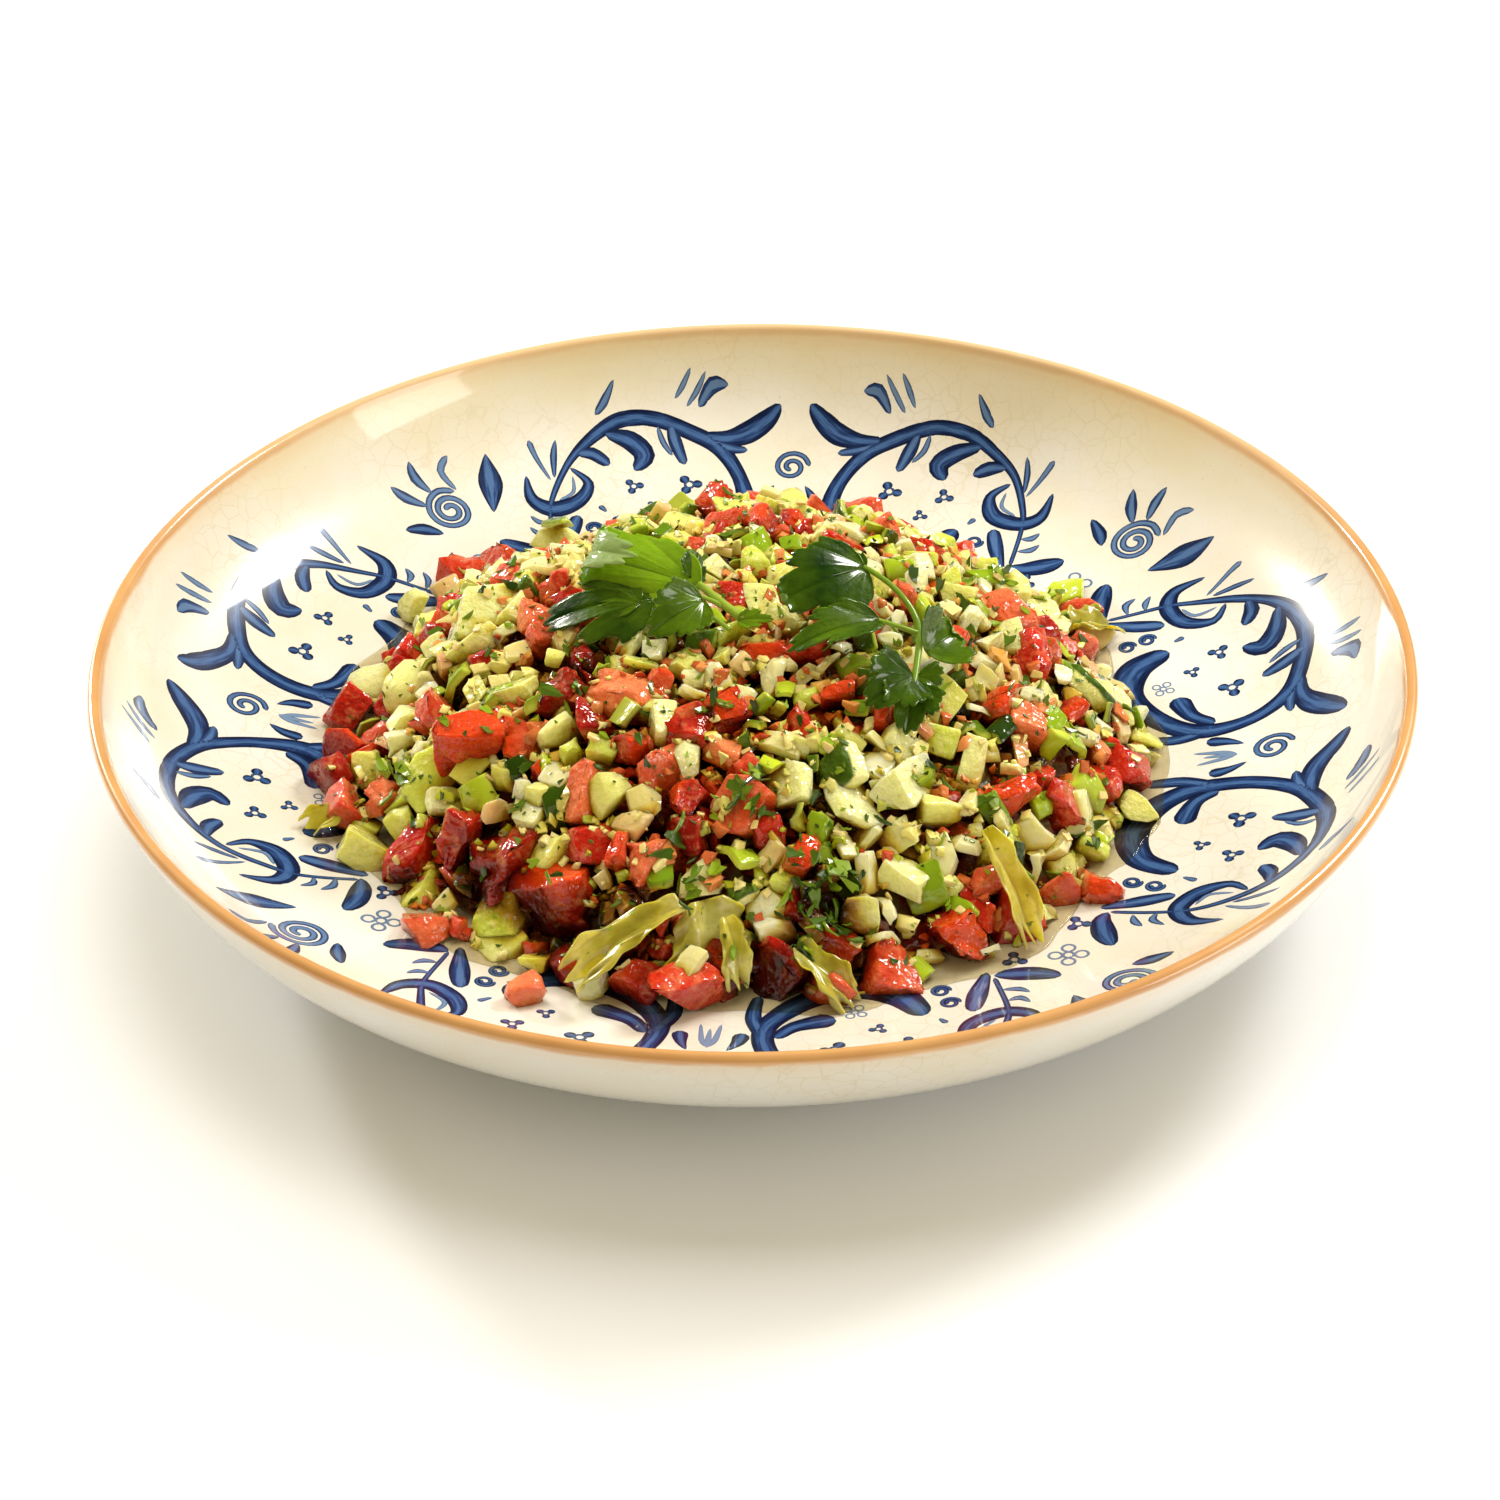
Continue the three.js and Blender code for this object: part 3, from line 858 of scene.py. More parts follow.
tomato_red = (0.58, 0.022, 0.006)
tomato_deep = (0.29, 0.008, 0.003)
tomato_pink = (0.86, 0.25, 0.095)
tomato_vein = (0.86, 0.36, 0.15)
tomato_skin = (0.66, 0.055, 0.006)
# stain colours of juice and painted shade, from thin near the top to dark deep in the heap
thin_juice_shade = (0.82, 0.72, 0.26)
amber_juice_shade = (0.50, 0.24, 0.045)
dark_juice_shade = (0.09, 0.022, 0.005)


def soaked(finish, colour):
    """Stain what lies deep in the heap with tomato juice and painted shade, and film it all with wet."""
    shade_stain = finish.ramp(finish.carried("soak"), [
        (0.14, 1.0), (0.38, thin_juice_shade), (0.66, amber_juice_shade), (1.0, dark_juice_shade),
    ])
    finish.colour(finish.mix(1.0, colour, shade_stain, blend="MULTIPLY"))
    finish.relief(finish.noise(520.0, 1.0), 0.0012, 0.70, socket="Coat Normal")


def tomato_finish():
    """Wet tomato flesh, deep red to pink, grained by its cells, and smooth skin."""
    finish = Finish(
        "wet_tomato", 0.40, coat=1.0, coat_roughness=0.04, subsurface=0.40, radius=(0.0035, 0.0007, 0.0003)
    )
    tone = finish.maths("MULTIPLY", finish.carried("tone"), 0.72)
    lean = finish.maths("ADD", tone, finish.maths("MULTIPLY", finish.noise(190.0, 3.0), 0.45))
    flesh = finish.ramp(lean, [(0.22, tomato_deep), (0.46, tomato_red), (0.95, tomato_pink)])
    veins = finish.ramp(finish.noise(420.0, 4.0), [(0.52, 0.0), (0.68, 0.32)])
    fibred = finish.mix(veins, flesh, tomato_vein)
    soaked(finish, finish.mix(finish.carried("skin"), fibred, tomato_skin))
    finish.relief(finish.noise(650.0, 5.0), 0.0014, 0.85)
    return finish.material


wet_tomato = tomato_finish()


# --- Diced cucumber ----------------------------------------------------------------
# Peeled cucumber in pale green dice and slivers, 4 to 15 mm, crisp at their cut edges
# and half clear in their middle. A few keep a strip of dark green skin on one side.
seen_cucumber = [
    (560, 733, 8.5, 0.35), (600, 752, 8, 0.75), (665, 730, 9, 0.25), (686, 757, 9, 0.20),
    (645, 703, 8, 0.55), (430, 640, 15, 0.65), (490, 622, 15, 0.30), (520, 615, 9, 0.35),
    (432, 778, 13, 0.90), (420, 890, 13, 0.95), (502, 920, 13, 0.80), (505, 945, 14, 0.55),
    (556, 858, 14, 0.60), (790, 788, 9, 0.30), (835, 775, 9, 0.30), (850, 802, 11, 0.25),
    (908, 790, 12, 0.20), (938, 815, 9, 0.50), (900, 832, 8, 0.35), (610, 795, 8, 0.50),
    (742, 892, 8, 0.20), (768, 912, 8, 0.10), (845, 745, 10, 0.55), (905, 750, 10, 0.30),
    (970, 765, 10, 0.35), (1010, 640, 10, 0.35), (1045, 700, 10, 0.40), (1085, 690, 11, 0.45),
    (940, 700, 10, 0.60), (1100, 700, 10, 0.40), (555, 545, 11, 0.40), (600, 560, 10, 0.45),
    (690, 530, 13, 0.55), (745, 520, 12, 0.65), (785, 505, 10, 0.60), (650, 520, 10, 0.55),
    (810, 560, 10, 0.55), (955, 600, 10, 0.50), (1000, 590, 11, 0.45), (1035, 620, 10, 0.40),
    (410, 720, 9, 0.35), (445, 800, 9, 0.25), (408, 606, 8, 0.45), (370, 770, 9, 0.60),
    (365, 850, 9, 0.60), (1090, 850, 12, 0.75), (1065, 870, 9, 0.55), (520, 690, 10, 0.45),
    (475, 650, 10, 0.35), (760, 610, 9, 0.45), (905, 880, 9, 0.30), (860, 910, 9, 0.20),
]
cucumber_copies = []
chunk = Template(cut_dice("chunk", 3, 0.07, 9.0), thick=0.68)
wedge = Template(cut_dice("wedge", 3, 0.07, 9.0), thick=0.75, squeeze=0.7)
crescent = Template(cut_dice("crescent", 3, 0.09, 5.5), thick=0.5, curl=0.75)
cucumber_cuts = (chunk, chunk, wedge, crescent)
lay_seen(
    seen_cucumber, cucumber_copies, cucumber_cuts,
    depth=0.24, stretch_range=(0.66, 1.08), skin_chance=0.12, pull=0.20, rough=0.026,
)

# the round cucumber end at the heap's left edge, and the piece that leans on it
ball = Template(cut_dice("ball", 3, 0.22, 2.6))
upwards = Vector((0, 0, 1))
for u, v, size_mm, tone in [(382, 697, 15, 0.28), (412, 690, 12, 0.40)]:
    size = size_mm / 1000
    place = on_heap(u, v, 0.3 * size)
    turn = flat_turn(upwards, 0.2)
    stretch = (size * 1.1, size * 0.9, size * 0.9)
    cucumber_copies.append(copy_of(ball, place, turn, stretch, tone, pull=0.05, rough=0.01))
    lay(place, 0.5 * size)


def cucumber_finish():
    """Half-clear pale green flesh, yellower near the seeds, and dark green skin."""
    finish = Finish(
        "wet_cucumber", 0.32, coat=1.0, coat_roughness=0.04, subsurface=0.60, radius=(0.0040, 0.0035, 0.0010)
    )
    flesh = finish.ramp(finish.carried("tone"), [
        (0.0, (0.93, 0.94, 0.68)), (0.35, (0.90, 0.90, 0.40)), (0.62, (0.84, 0.84, 0.22)),
        (0.84, (0.54, 0.72, 0.07)), (1.0, (0.90, 0.83, 0.18)),
    ])
    patch = finish.ramp(finish.noise(230.0, 4.0), [(0.35, 0.0), (0.75, 0.50)])
    varied = finish.mix(patch, flesh, (0.60, 0.66, 0.10))
    pale = finish.ramp(finish.noise(560.0, 2.0), [(0.55, 0.0), (0.72, 0.55)])
    seeded = finish.mix(pale, varied, (0.93, 0.88, 0.42))
    edge = finish.ramp(finish.carried("skin"), [(0.35, 0.0), (0.6, 1.0)])
    rind = finish.mix(finish.noise(300.0, 3.0), (0.02, 0.06, 0.004), (0.12, 0.22, 0.015))
    soaked(finish, finish.mix(edge, seeded, rind))
    finish.shader.inputs["Transmission Weight"].default_value = 0.08
    finish.relief(finish.noise(700.0, 4.0), 0.0010, 0.8)
    return finish.material


# --- Chopped onion and green pepper ------------------------------------------------
# White and faintly pink onion, chopped across its layers to small curved flakes, and
# bright green pepper and spring onion in thin bent strips.
flake = Template(cut_dice("flake", 3, 0.06, 9.0), thick=0.34, curl=0.7)
sliver = Template(cut_dice("sliver", 3, 0.07, 7.0), thick=0.30, squeeze=0.5, curl=0.35)
strip = Template(cut_dice("strip", 3, 0.10, 8.0), thick=0.30, curl=0.9)

seen_onion = [
    (872, 765, 8, 0.05), (630, 820, 9, 0.75), (648, 800, 8, 0.65), (1050, 850, 9, 0.40),
    (1075, 815, 11, 0.30), (880, 745, 8, 0.45), (650, 880, 8, 0.80), (985, 660, 9, 0.20),
    (910, 660, 9, 0.30), (720, 680, 9, 0.25), (770, 680, 8, 0.30), (735, 700, 9, 0.35),
    (1030, 840, 10, 0.20), (780, 940, 9, 0.05), (820, 925, 8, 0.10), (530, 575, 8, 0.30),
    (870, 870, 8, 0.15), (940, 860, 8, 0.25), (890, 905, 8, 0.15), (700, 880, 9, 0.60),
]
seen_green = [
    (822, 832, 8, 0.7), (740, 852, 8, 0.8), (925, 887, 9, 0.6), (1088, 786, 11, 0.9),
    (1065, 590, 10, 1.0), (985, 575, 9, 0.7), (545, 700, 9, 0.6), (500, 690, 8, 0.7),
    (660, 870, 9, 0.5), (700, 640, 8, 0.3), (1075, 740, 9, 0.8), (1050, 720, 8, 0.7),
    (830, 745, 7, 0.6), (720, 930, 8, 0.6), (955, 910, 7, 0.7), (560, 520, 7, 0.6),
    (620, 575, 8, 0.7), (900, 570, 7, 0.8), (760, 545, 7, 0.7), (1100, 835, 8, 0.9),
    (430, 700, 7, 0.6), (560, 809, 9, 0.1), (455, 680, 7, 0.7), (930, 780, 7, 0.6),
]
onion_copies = []
green_copies = []
lay_seen(
    seen_onion, onion_copies, (flake, sliver),
    depth=0.16, stretch_range=(0.75, 1.05), skin_chance=0.0, pull=0.14, rough=0.02,
)
lay_seen(
    seen_green, green_copies, (strip,),
    depth=0.12, stretch_range=(0.65, 1.10), skin_chance=1.0, pull=0.14, rough=0.02,
)


def onion_finish():
    """Translucent onion: white to faintly pink, with fine ribs along each layer."""
    finish = Finish(
        "chopped_onion", 0.28, coat=1.0, coat_roughness=0.04, subsurface=0.60, radius=(0.0040, 0.0033, 0.0014)
    )
    flesh = finish.ramp(finish.carried("tone"), [
        (0.0, (0.97, 0.94, 0.66)), (0.35, (0.94, 0.87, 0.42)), (0.65, (0.90, 0.74, 0.30)),
        (0.85, (0.87, 0.50, 0.26)), (1.0, (0.78, 0.27, 0.13)),
    ])
    ribs = finish.ramp(finish.noise(340.0, 2.0), [(0.4, 0.0), (0.7, 0.40)])
    soaked(finish, finish.mix(ribs, flesh, (0.76, 0.73, 0.26)))
    finish.shader.inputs["Transmission Weight"].default_value = 0.14
    finish.relief(finish.noise(500.0, 2.0), 0.0007, 0.6)
    return finish.material


def green_finish():
    """Green pepper and spring onion: glossy dark outside, paler wet inside."""
    finish = Finish("green_pepper", 0.28, coat=1.0, coat_roughness=0.05)
    outside = finish.ramp(finish.carried("tone"), [
        (0.0, (0.020, 0.050, 0.003)), (0.35, (0.10, 0.20, 0.008)), (0.70, (0.27, 0.42, 0.012)),
        (1.0, (0.52, 0.64, 0.03)),
    ])
    inside = finish.mix(0.6, outside, (0.66, 0.72, 0.10))
    soaked(finish, finish.mix(finish.carried("skin"), inside, outside))
    finish.relief(finish.noise(420.0, 2.0), 0.0005, 0.4)
    return finish.material


# --- The rest of the heap ----------------------------------------------------------
# The same four kinds again, where the photograph is too small or too blurred to count
# pieces: dice are laid wherever there is room, in three layers. Then all pieces of a kind
# are joined to one, and darkened with painted shade and juice where they shut each
# other in.

# by kind: its copies, cut shapes, sizes in mm, share of its size that sinks in, how far it
# is pulled out of true, how rough it is, and how often it has skin
fill_kinds = {
    "tomato": (tomato_copies, (soft_chunk, soft_wedge), (7.0, 12.0), 0.32, 0.20, 0.045, 0.3),
    "cucumber": (cucumber_copies, cucumber_cuts, (4.8, 9.0), 0.28, 0.20, 0.026, 0.10),
    "onion": (onion_copies, (flake, sliver), (5.0, 8.5), 0.18, 0.18, 0.028, 0.0),
    "green": (green_copies, (strip,), (4.5, 8.0), 0.14, 0.14, 0.02, 1.0),
}


def kind_at(place):
    """More tomato at the heap's front left, in clumps, and more cucumber to the right."""
    clump = noise.noise(Vector(place) * 38.0)
    leaning = -3.0 * place.x - 2.5 * place.y
    leaning *= 1.7 if leaning > 0 else 1.0
    if clump + leaning * 0.5 + salad_random.uniform(-0.35, 0.35) > 0.13:
        return "tomato"
    draw = salad_random.random()
    if draw < 0.47:
        return "cucumber"
    if draw < 0.82:
        return "onion"
    return "green"


def neighbours(place):
    """The laid pieces near a place, each with its reach."""
    cx, cy, cz = (math.floor(c / laid_cell) for c in place)
    for dx in (-1, 0, 1):
        for dy in (-1, 0, 1):
            for dz in (-1, 0, 1):
                yield from laid_pieces.get((cx + dx, cy + dy, cz + dz), ())


def has_room(place, reach, share):
    """Whether a piece stays clear of its neighbours, by a share of their reach."""
    return all((place - other).length > share * (reach + far) for other, far in neighbours(place))


def any_turn():
    """A turn that leaves a piece lying any way at all."""
    return Euler([salad_random.uniform(0, 2 * math.pi) for _ in range(3)]).to_matrix()


def fill_layer(tries, depth_mm, share, size_factor=1.0):
    """Try to lay pieces a given depth under the outline, the share of their reach apart."""
    for _ in range(tries):
        angle = salad_random.uniform(0, 2 * math.pi)
        r = (heap_edge(angle) - 0.002 - depth_mm * 0.0003) * math.sqrt(salad_random.random())
        x = r * math.cos(angle)
        y = r * math.sin(angle)
        kind = kind_at(Vector((x, y, 0.0)))
        copies, templates, sizes, sink, pull, rough, skin_chance = fill_kinds[kind]
        size = salad_random.uniform(*sizes) / 1000 * size_factor
        normal = heap_normal(x, y)
        depth = depth_mm / 1000 + size * (sink + salad_random.uniform(-0.12, 0.12))
        place = Vector((x, y, heap_top(x, y))) - normal * depth
        lowest = inner_height(math.hypot(place.x, place.y)) + 0.3 * size
        if place.z < lowest:
            place.z = lowest
        if not has_room(place, piece_reach * size, share):
            continue
        stretch = [size * salad_random.uniform(0.72, 1.08) for _ in range(3)]
        if kind in ("cucumber", "onion") and salad_random.random() < 0.3:
            stretch[0] *= 1.35
            stretch[1] *= 0.7
        turn = flat_turn(normal) if salad_random.random() < 0.6 else any_turn()
        skin = 1.0 if salad_random.random() < skin_chance else 0.0
        tone = salad_random.random() ** (1.5 if kind == "tomato" else 1.0)
        template = salad_random.choice(templates)
        copies.append(copy_of(template, place, turn, stretch, tone, pull, rough, skin))
        lay(place, piece_reach * size)


fill_layer(tries=5000, depth_mm=0.0, share=0.80)
fill_layer(tries=3500, depth_mm=1.0, share=0.80, size_factor=0.70)
fill_layer(tries=5000, depth_mm=4.5, share=0.72)

# the chunk that stands out at the very front, before the lettuce, with onion on it
front_place = on_heap(690, 988, -0.0015)
front_turn = Matrix.Rotation(0.15, 3, "Z")
front_size = (0.0136, 0.0100, 0.0080)
tomato_copies.append(copy_of(large_chunk, front_place, front_turn, front_size, 0.40, pull=0.20, rough=0.04))
front_bit = front_place + Vector((-0.0004, 0.0012, 0.0048))
front_bit_turn = flat_turn(upwards, 0.2)
front_bit_size = (0.0072, 0.0042, 0.0060)
onion_copies.append(copy_of(flake, front_bit, front_bit_turn, front_bit_size, 0.45, pull=0.16, rough=0.03))

tomato = join_copies("chopped_tomato", tomato_copies, wet_tomato)
cucumber = join_copies("diced_cucumber", cucumber_copies, cucumber_finish())
onion = join_copies("chopped_onion", onion_copies, onion_finish())
green = join_copies("green_strips", green_copies, green_finish())


def landing_tree(pieces):
    """The surface of several pieces together, for things to land on."""
    corners = []
    faces = []
    for piece in pieces:
        first = len(corners)
        corners.extend(corner.co for corner in piece.data.vertices)
        faces.extend([first + c for c in face.vertices] for face in piece.data.polygons)
    return BVHTree.FromPolygons(corners, faces)


heap_ground = landing_tree([core, tomato, cucumber, onion, green])
soak_kept = 0.6
soak_if_shut_in = 0.80
soak_lost_in_open = 0.18
sky_reach = 0.012
sky_ways = [Vector((0, 0, 1))]
for step in range(5):
    a = 2 * math.pi * step / 5 + 0.3
    sky_ways.append(Vector((0.75 * math.cos(a), 0.75 * math.sin(a), 0.66)))


def shade_crevices(piece, ground):
    """Paint shade, with pooled juice, where a piece is shut in by its neighbours: count the
    ways up from each corner that are blocked, and darken it that much more."""
    soak = piece.data.attributes["soak"].data
    for corner, soaked_here in zip(piece.data.vertices, soak):
        start = corner.co + corner.normal * 0.0003
        blocked = sum(ground.ray_cast(start, way, sky_reach)[0] is not None for way in sky_ways)
        share = soak_kept * soaked_here.value + soak_if_shut_in * blocked / len(sky_ways) - soak_lost_in_open
        soaked_here.value = min(max(share, 0.0), 1.0)


for piece in (tomato, cucumber, onion, green):
    shade_crevices(piece, heap_ground)


# --- Minced bits and seeds ---------------------------------------------------------
# What the knife makes beside the dice: crumbs of all the vegetables, 1 to 4 mm, and flat
# yellow tomato seeds. They are dropped on the pieces and lie where they land.
drop_height = 0.09


def drop(x, y, ground=heap_ground):
    """Where something let go over (x, y) lands, and how the surface faces there."""
    place, normal, _, _ = ground.ray_cast(Vector((x, y, drop_height)), Vector((0, 0, -1)))
    if place is not None and normal.z < 0:
        normal = -normal
    return place, normal


def random_spot():
    """Any spot over the heap, as likely as any other."""
    angle = salad_random.uniform(0, 2 * math.pi)
    r = (heap_edge(angle) - 0.001) * math.sqrt(salad_random.random())
    return r * math.cos(angle), r * math.sin(angle)


def depth_under_outline(place):
    """How far a point lies below the heap's outline."""
    return heap_top(place.x, place.y) - place.z


crumb = Template(cut_dice("crumb", 1, 0.2, 2.8))
crumb_copies = []
crumb_tries = 5600
seed_count = 170
for _ in range(crumb_tries):
    place, normal = drop(*random_spot())
    # most crumbs have slid off the large pieces, down in the gaps
    if place is None or salad_random.random() > 0.16 + depth_under_outline(place) / 0.0032:
        continue
    size = 0.0012 + 0.0027 * salad_random.random() ** 1.5
    stretch = [size * salad_random.uniform(0.6, 1.3) for _ in range(3)]
    reddish = noise.noise(place * 60.0) > 0.0
    if reddish and salad_random.random() < 0.6:
        tone = salad_random.uniform(0.72, 1.0)
    else:
        tone = salad_random.uniform(0.0, 0.72)
    sunk = place - normal * 0.05 * size
    crumb_copies.append(copy_of(crumb, sunk, any_turn(), stretch, tone, pull=0.32, rough=0.10))

seed_copies = []
for _ in range(seed_count):
    place, normal = drop(*random_spot())
    if place is None:
        continue
    size = salad_random.uniform(0.0021, 0.0030)
    turn = flat_turn(normal, 0.3)
    stretch = (size, 0.72 * size, 0.34 * size)
    raised = place + normal * 0.0002
    seed_copies.append(copy_of(crumb, raised, turn, stretch, 0.5, pull=0.05, rough=0.01))


def crumb_finish():
    """Bits of every kind, from pale cucumber and onion through green to red."""
    finish = Finish("minced_bits", 0.26, coat=1.0, coat_roughness=0.05)
    soaked(finish, finish.ramp(finish.carried("tone"), [
        (0.0, (0.86, 0.79, 0.33)), (0.30, (0.78, 0.72, 0.16)), (0.52, (0.90, 0.79, 0.35)),
        (0.66, (0.42, 0.50, 0.02)), (0.76, (0.82, 0.30, 0.09)), (1.0, (0.54, 0.045, 0.01)),
    ]))
    finish.relief(finish.noise(900.0, 2.0), 0.0005, 0.6)
    return finish.material


def seed_finish():
    """Slippery pale yellow seeds."""
    finish = Finish("tomato_seed", 0.25, coat=0.8, subsurface=0.3)
    finish.colour(finish.mix(finish.noise(500.0), (0.78, 0.52, 0.13), (0.85, 0.70, 0.34)))
    return finish.material


crumbs = join_copies("minced_bits", crumb_copies, crumb_finish())
join_copies("tomato_seeds", seed_copies, seed_finish())


# --- Lettuce -----------------------------------------------------------------------
# Thin torn leaves of pale lettuce that stick out at the foot of the heap. Each is a grid
# of cells laid along an arched line, frilled towards its edges, and made 0.35 mm thick.
def near_heap(u, v, lift):
    """The point over the dish or the heap that a pixel shows, lifted off what is there."""
    for point in sight_points(u, v, 0.0005):
        r = math.hypot(point.x, point.y)
        ground = heap_top(point.x, point.y) if r < heap_edge(math.atan2(point.y, point.x)) else 0.0
        ground = max(ground, inner_height(min(r, lip_start)))
        if point.z < ground + lift:
            return point
    raise ValueError("that pixel misses the dish")


def thicken(piece, thickness, levels, back_material=0):
    """Give a leaf its thickness, half to each side, and smooth it by so many levels."""
    select_only(piece)
    bpy.ops.object.modifier_add(type="SOLIDIFY")
    wall = piece.modifiers[-1]
    wall.thickness = thickness
    wall.offset = 0.0
    wall.material_offset = back_material
    bpy.ops.object.modifier_apply(modifier=wall.name)
    if levels:
        bpy.ops.object.modifier_add(type="SUBSURF")
        smooth = piece.modifiers[-1]
        smooth.levels = levels
        smooth.render_levels = levels
        bpy.ops.object.modifier_apply(modifier=smooth.name)
    bpy.ops.object.shade_smooth()


def lettuce_leaf(name, root, tip, width, arch, fold, chance):
    """A torn piece of leaf, from its root in the heap to its frilled end on the glaze."""
    bpy.ops.object.select_all(action="DESELECT")
    bpy.ops.mesh.primitive_grid_add(x_subdivisions=22, y_subdivisions=14, size=1.0)
    piece = bpy.context.object
    piece.name = name
    along = (tip - root).normalized()
    across = along.cross(Vector((0, 0, 1))).normalized()
    up = across.cross(along)
    phase = chance.uniform(0, 6.3)
    for corner in piece.data.vertices:
        t = corner.co.x + 0.5
        side = 2 * corner.co.y
        torn = 1 + 0.12 * math.cos(9 * side + phase) + 0.05 * math.sin(23 * side + 2 * phase)
        half = width / 2 * (0.45 + 0.55 * math.sin(math.pi * 0.62 * t))
        half *= 1 + 0.10 * math.sin(13 * t + phase) + 0.05 * math.sin(29 * t)
        place = root.lerp(tip, t * torn) + up * arch * 4 * t * (1 - t)
        place += across * (side * half + 0.12 * width * math.sin(2.5 * t + phase))
        margin = max(side * side, t ** 3)
        frill = math.sin(8 * t + 4 * side + phase) + 0.4 * math.sin(19 * t - 7 * side + 2 * phase)
        ridge = math.sin(5 * side + 1.5 * t + phase)
        place += up * width * (0.09 * margin * frill + 0.05 * ridge + fold * abs(side))
        floor_here = inner_height(min(math.hypot(place.x, place.y), lip_start)) + 0.0004
        place.z = max(place.z, floor_here)
        corner.co = place
    thicken(piece, lettuce_thickness, 1)
    return piece


lettuce_thickness = 0.00035
# root pixel and lift in mm, tip pixel and lift, width and arch in mm, fold
seen_lettuce = [
    ((684, 906), 2.5, (580, 982), 0.8, 10.0, 3.6, 0.16),
    ((694, 902), 1.2, (712, 972), 0.4, 17.0, 1.5, 0.03),
    ((722, 918), 2.0, (742, 984), 0.6, 6.0, 1.6, 0.16),
    ((792, 950), 1.6, (850, 1003), 0.5, 8.0, 1.8, 0.22),
    ((978, 832), 1.6, (1033, 936), 0.5, 7.0, 1.6, 0.28),
]
lettuce_random = random.Random(5)
lettuce_pieces = []
for i, (root, root_lift, tip, tip_lift, width, arch, fold) in enumerate(seen_lettuce):
    lettuce_pieces.append(lettuce_leaf(
        f"lettuce_{i + 1}",
        near_heap(*root, root_lift / 1000), near_heap(*tip, tip_lift / 1000),
        width / 1000, arch / 1000, fold, lettuce_random,
    ))
# a few more round the back of the heap
for degrees in (28, 84, 137, 196):
    a = math.radians(degrees)
    far = heap_edge(a) + lettuce_random.uniform(0.001, 0.004)
    near = far - lettuce_random.uniform(0.010, 0.014)
    turned = a + lettuce_random.uniform(-0.1, 0.1)
    root = Vector((near * math.cos(a), near * math.sin(a), 0))
    root.z = heap_top(root.x, root.y) - 0.002
    tip = Vector((far * math.cos(turned), far * math.sin(turned), inner_height(far) + 0.001))
    width = lettuce_random.uniform(0.007, 0.011)
    lettuce_pieces.append(
        lettuce_leaf(f"lettuce_at_{degrees}", root, tip, width, 0.0015, 0.15, lettuce_random)
    )


def join_pieces(name, parts):
    """Join whole pieces to one, which keeps the name given."""
    bpy.ops.object.select_all(action="DESELECT")
    for part in parts:
        part.select_set(True)
    bpy.context.view_layer.objects.active = parts[0]
    bpy.ops.object.join()
    parts[0].name = name
    return parts[0]


def lettuce_finish():
    """Thin leaf that lets light through: yellow-green, mottled, with darker fine ribs."""
    finish = Finish("pale_lettuce", 0.30, coat=0.9, subsurface=0.9, radius=(0.0026, 0.0022, 0.0005))
    leaf = finish.ramp(finish.noise(120.0, 4.0), [
        (0.30, (0.22, 0.20, 0.01)), (0.50, (0.46, 0.40, 0.05)), (0.70, (0.74, 0.64, 0.18)),
    ])
    ribs = finish.ramp(finish.noise(520.0, 3.0), [(0.5, 0.0), (0.7, 0.5)])
    finish.colour(finish.mix(ribs, leaf, (0.36, 0.34, 0.03)))
    finish.relief(finish.noise(300.0, 4.0), 0.0006, 0.6)
    return finish.material


lettuce = join_pieces("lettuce", lettuce_pieces)
lettuce.data.materials.clear()
lettuce.data.materials.append(lettuce_finish())
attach(lettuce, "root")


# --- Juice -------------------------------------------------------------------------
# Thin clear juice that has run out a little round the foot of the heap: a flat ring of
# liquid that wets the glaze under it and ends in an uneven round edge.
bpy.ops.object.select_all(action="DESELECT")
bpy.ops.mesh.primitive_torus_add(
    major_radius=heap_radius, minor_radius=0.006, major_segments=240, minor_segments=14
)
juice = bpy.context.object
juice.name = "juice"
for corner in juice.data.vertices:
    x, y, z = corner.co
    angle = math.atan2(y, x)
    inward = math.hypot(x, y) - heap_radius
    creep = 0.0035 * noise.noise(Vector((math.cos(angle) * 3.0, math.sin(angle) * 3.0, 0.3)))
    creep += 0.0014 * noise.noise(Vector((math.cos(angle) * 11.0, math.sin(angle) * 11.0, 2.0)))
    r = heap_edge(angle) - 0.0045 + creep + inward
    corner.co = (r * math.cos(angle), r * math.sin(angle), inner_height(r) + 0.07 * z)
bpy.ops.object.shade_smooth()
clear_juice = Finish("salad_juice", 0.04)
clear_juice.colour((0.96, 0.86, 0.58))
clear_juice.shader.inputs["Transmission Weight"].default_value = 1.0
clear_juice.shader.inputs["IOR"].default_value = 1.34
juice.data.materials.append(clear_juice.material)
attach(juice, "root")


# --- Parsley sprigs ----------------------------------------------------------------
# Two sprigs of flat-leaf parsley laid on top. Each leaflet is a fan of three toothed
# lobes, pleated along its veins, glossy dark green above and silvery below; thin round
# stalks carry the leaflets.
leaf_spokes = 96
leaf_rings = 11
leaf_half_angle = 86
fold_radius = 0.06
fold_turn = 2.8


def leaf_reach(angle, lobing):
    """How far the leaf's edge lies from its stalk, by the angle off its middle vein."""
    off = abs(math.degrees(angle))
    body = 1.0 - 0.0036 * off
    gap = lobing * (math.exp(-((off - 27.0) / 6.5) ** 2) + 0.5 * math.exp(-((off - 58.0) / 6.0) ** 2))
    scallop = 0.10 * abs(math.cos(math.pi * off / 11.5)) ** 0.6 - 0.05
    end = max(0.0, (off - 62.0) / 24.0)
    return body * (1 - gap) + scallop - 0.45 * end ** 2


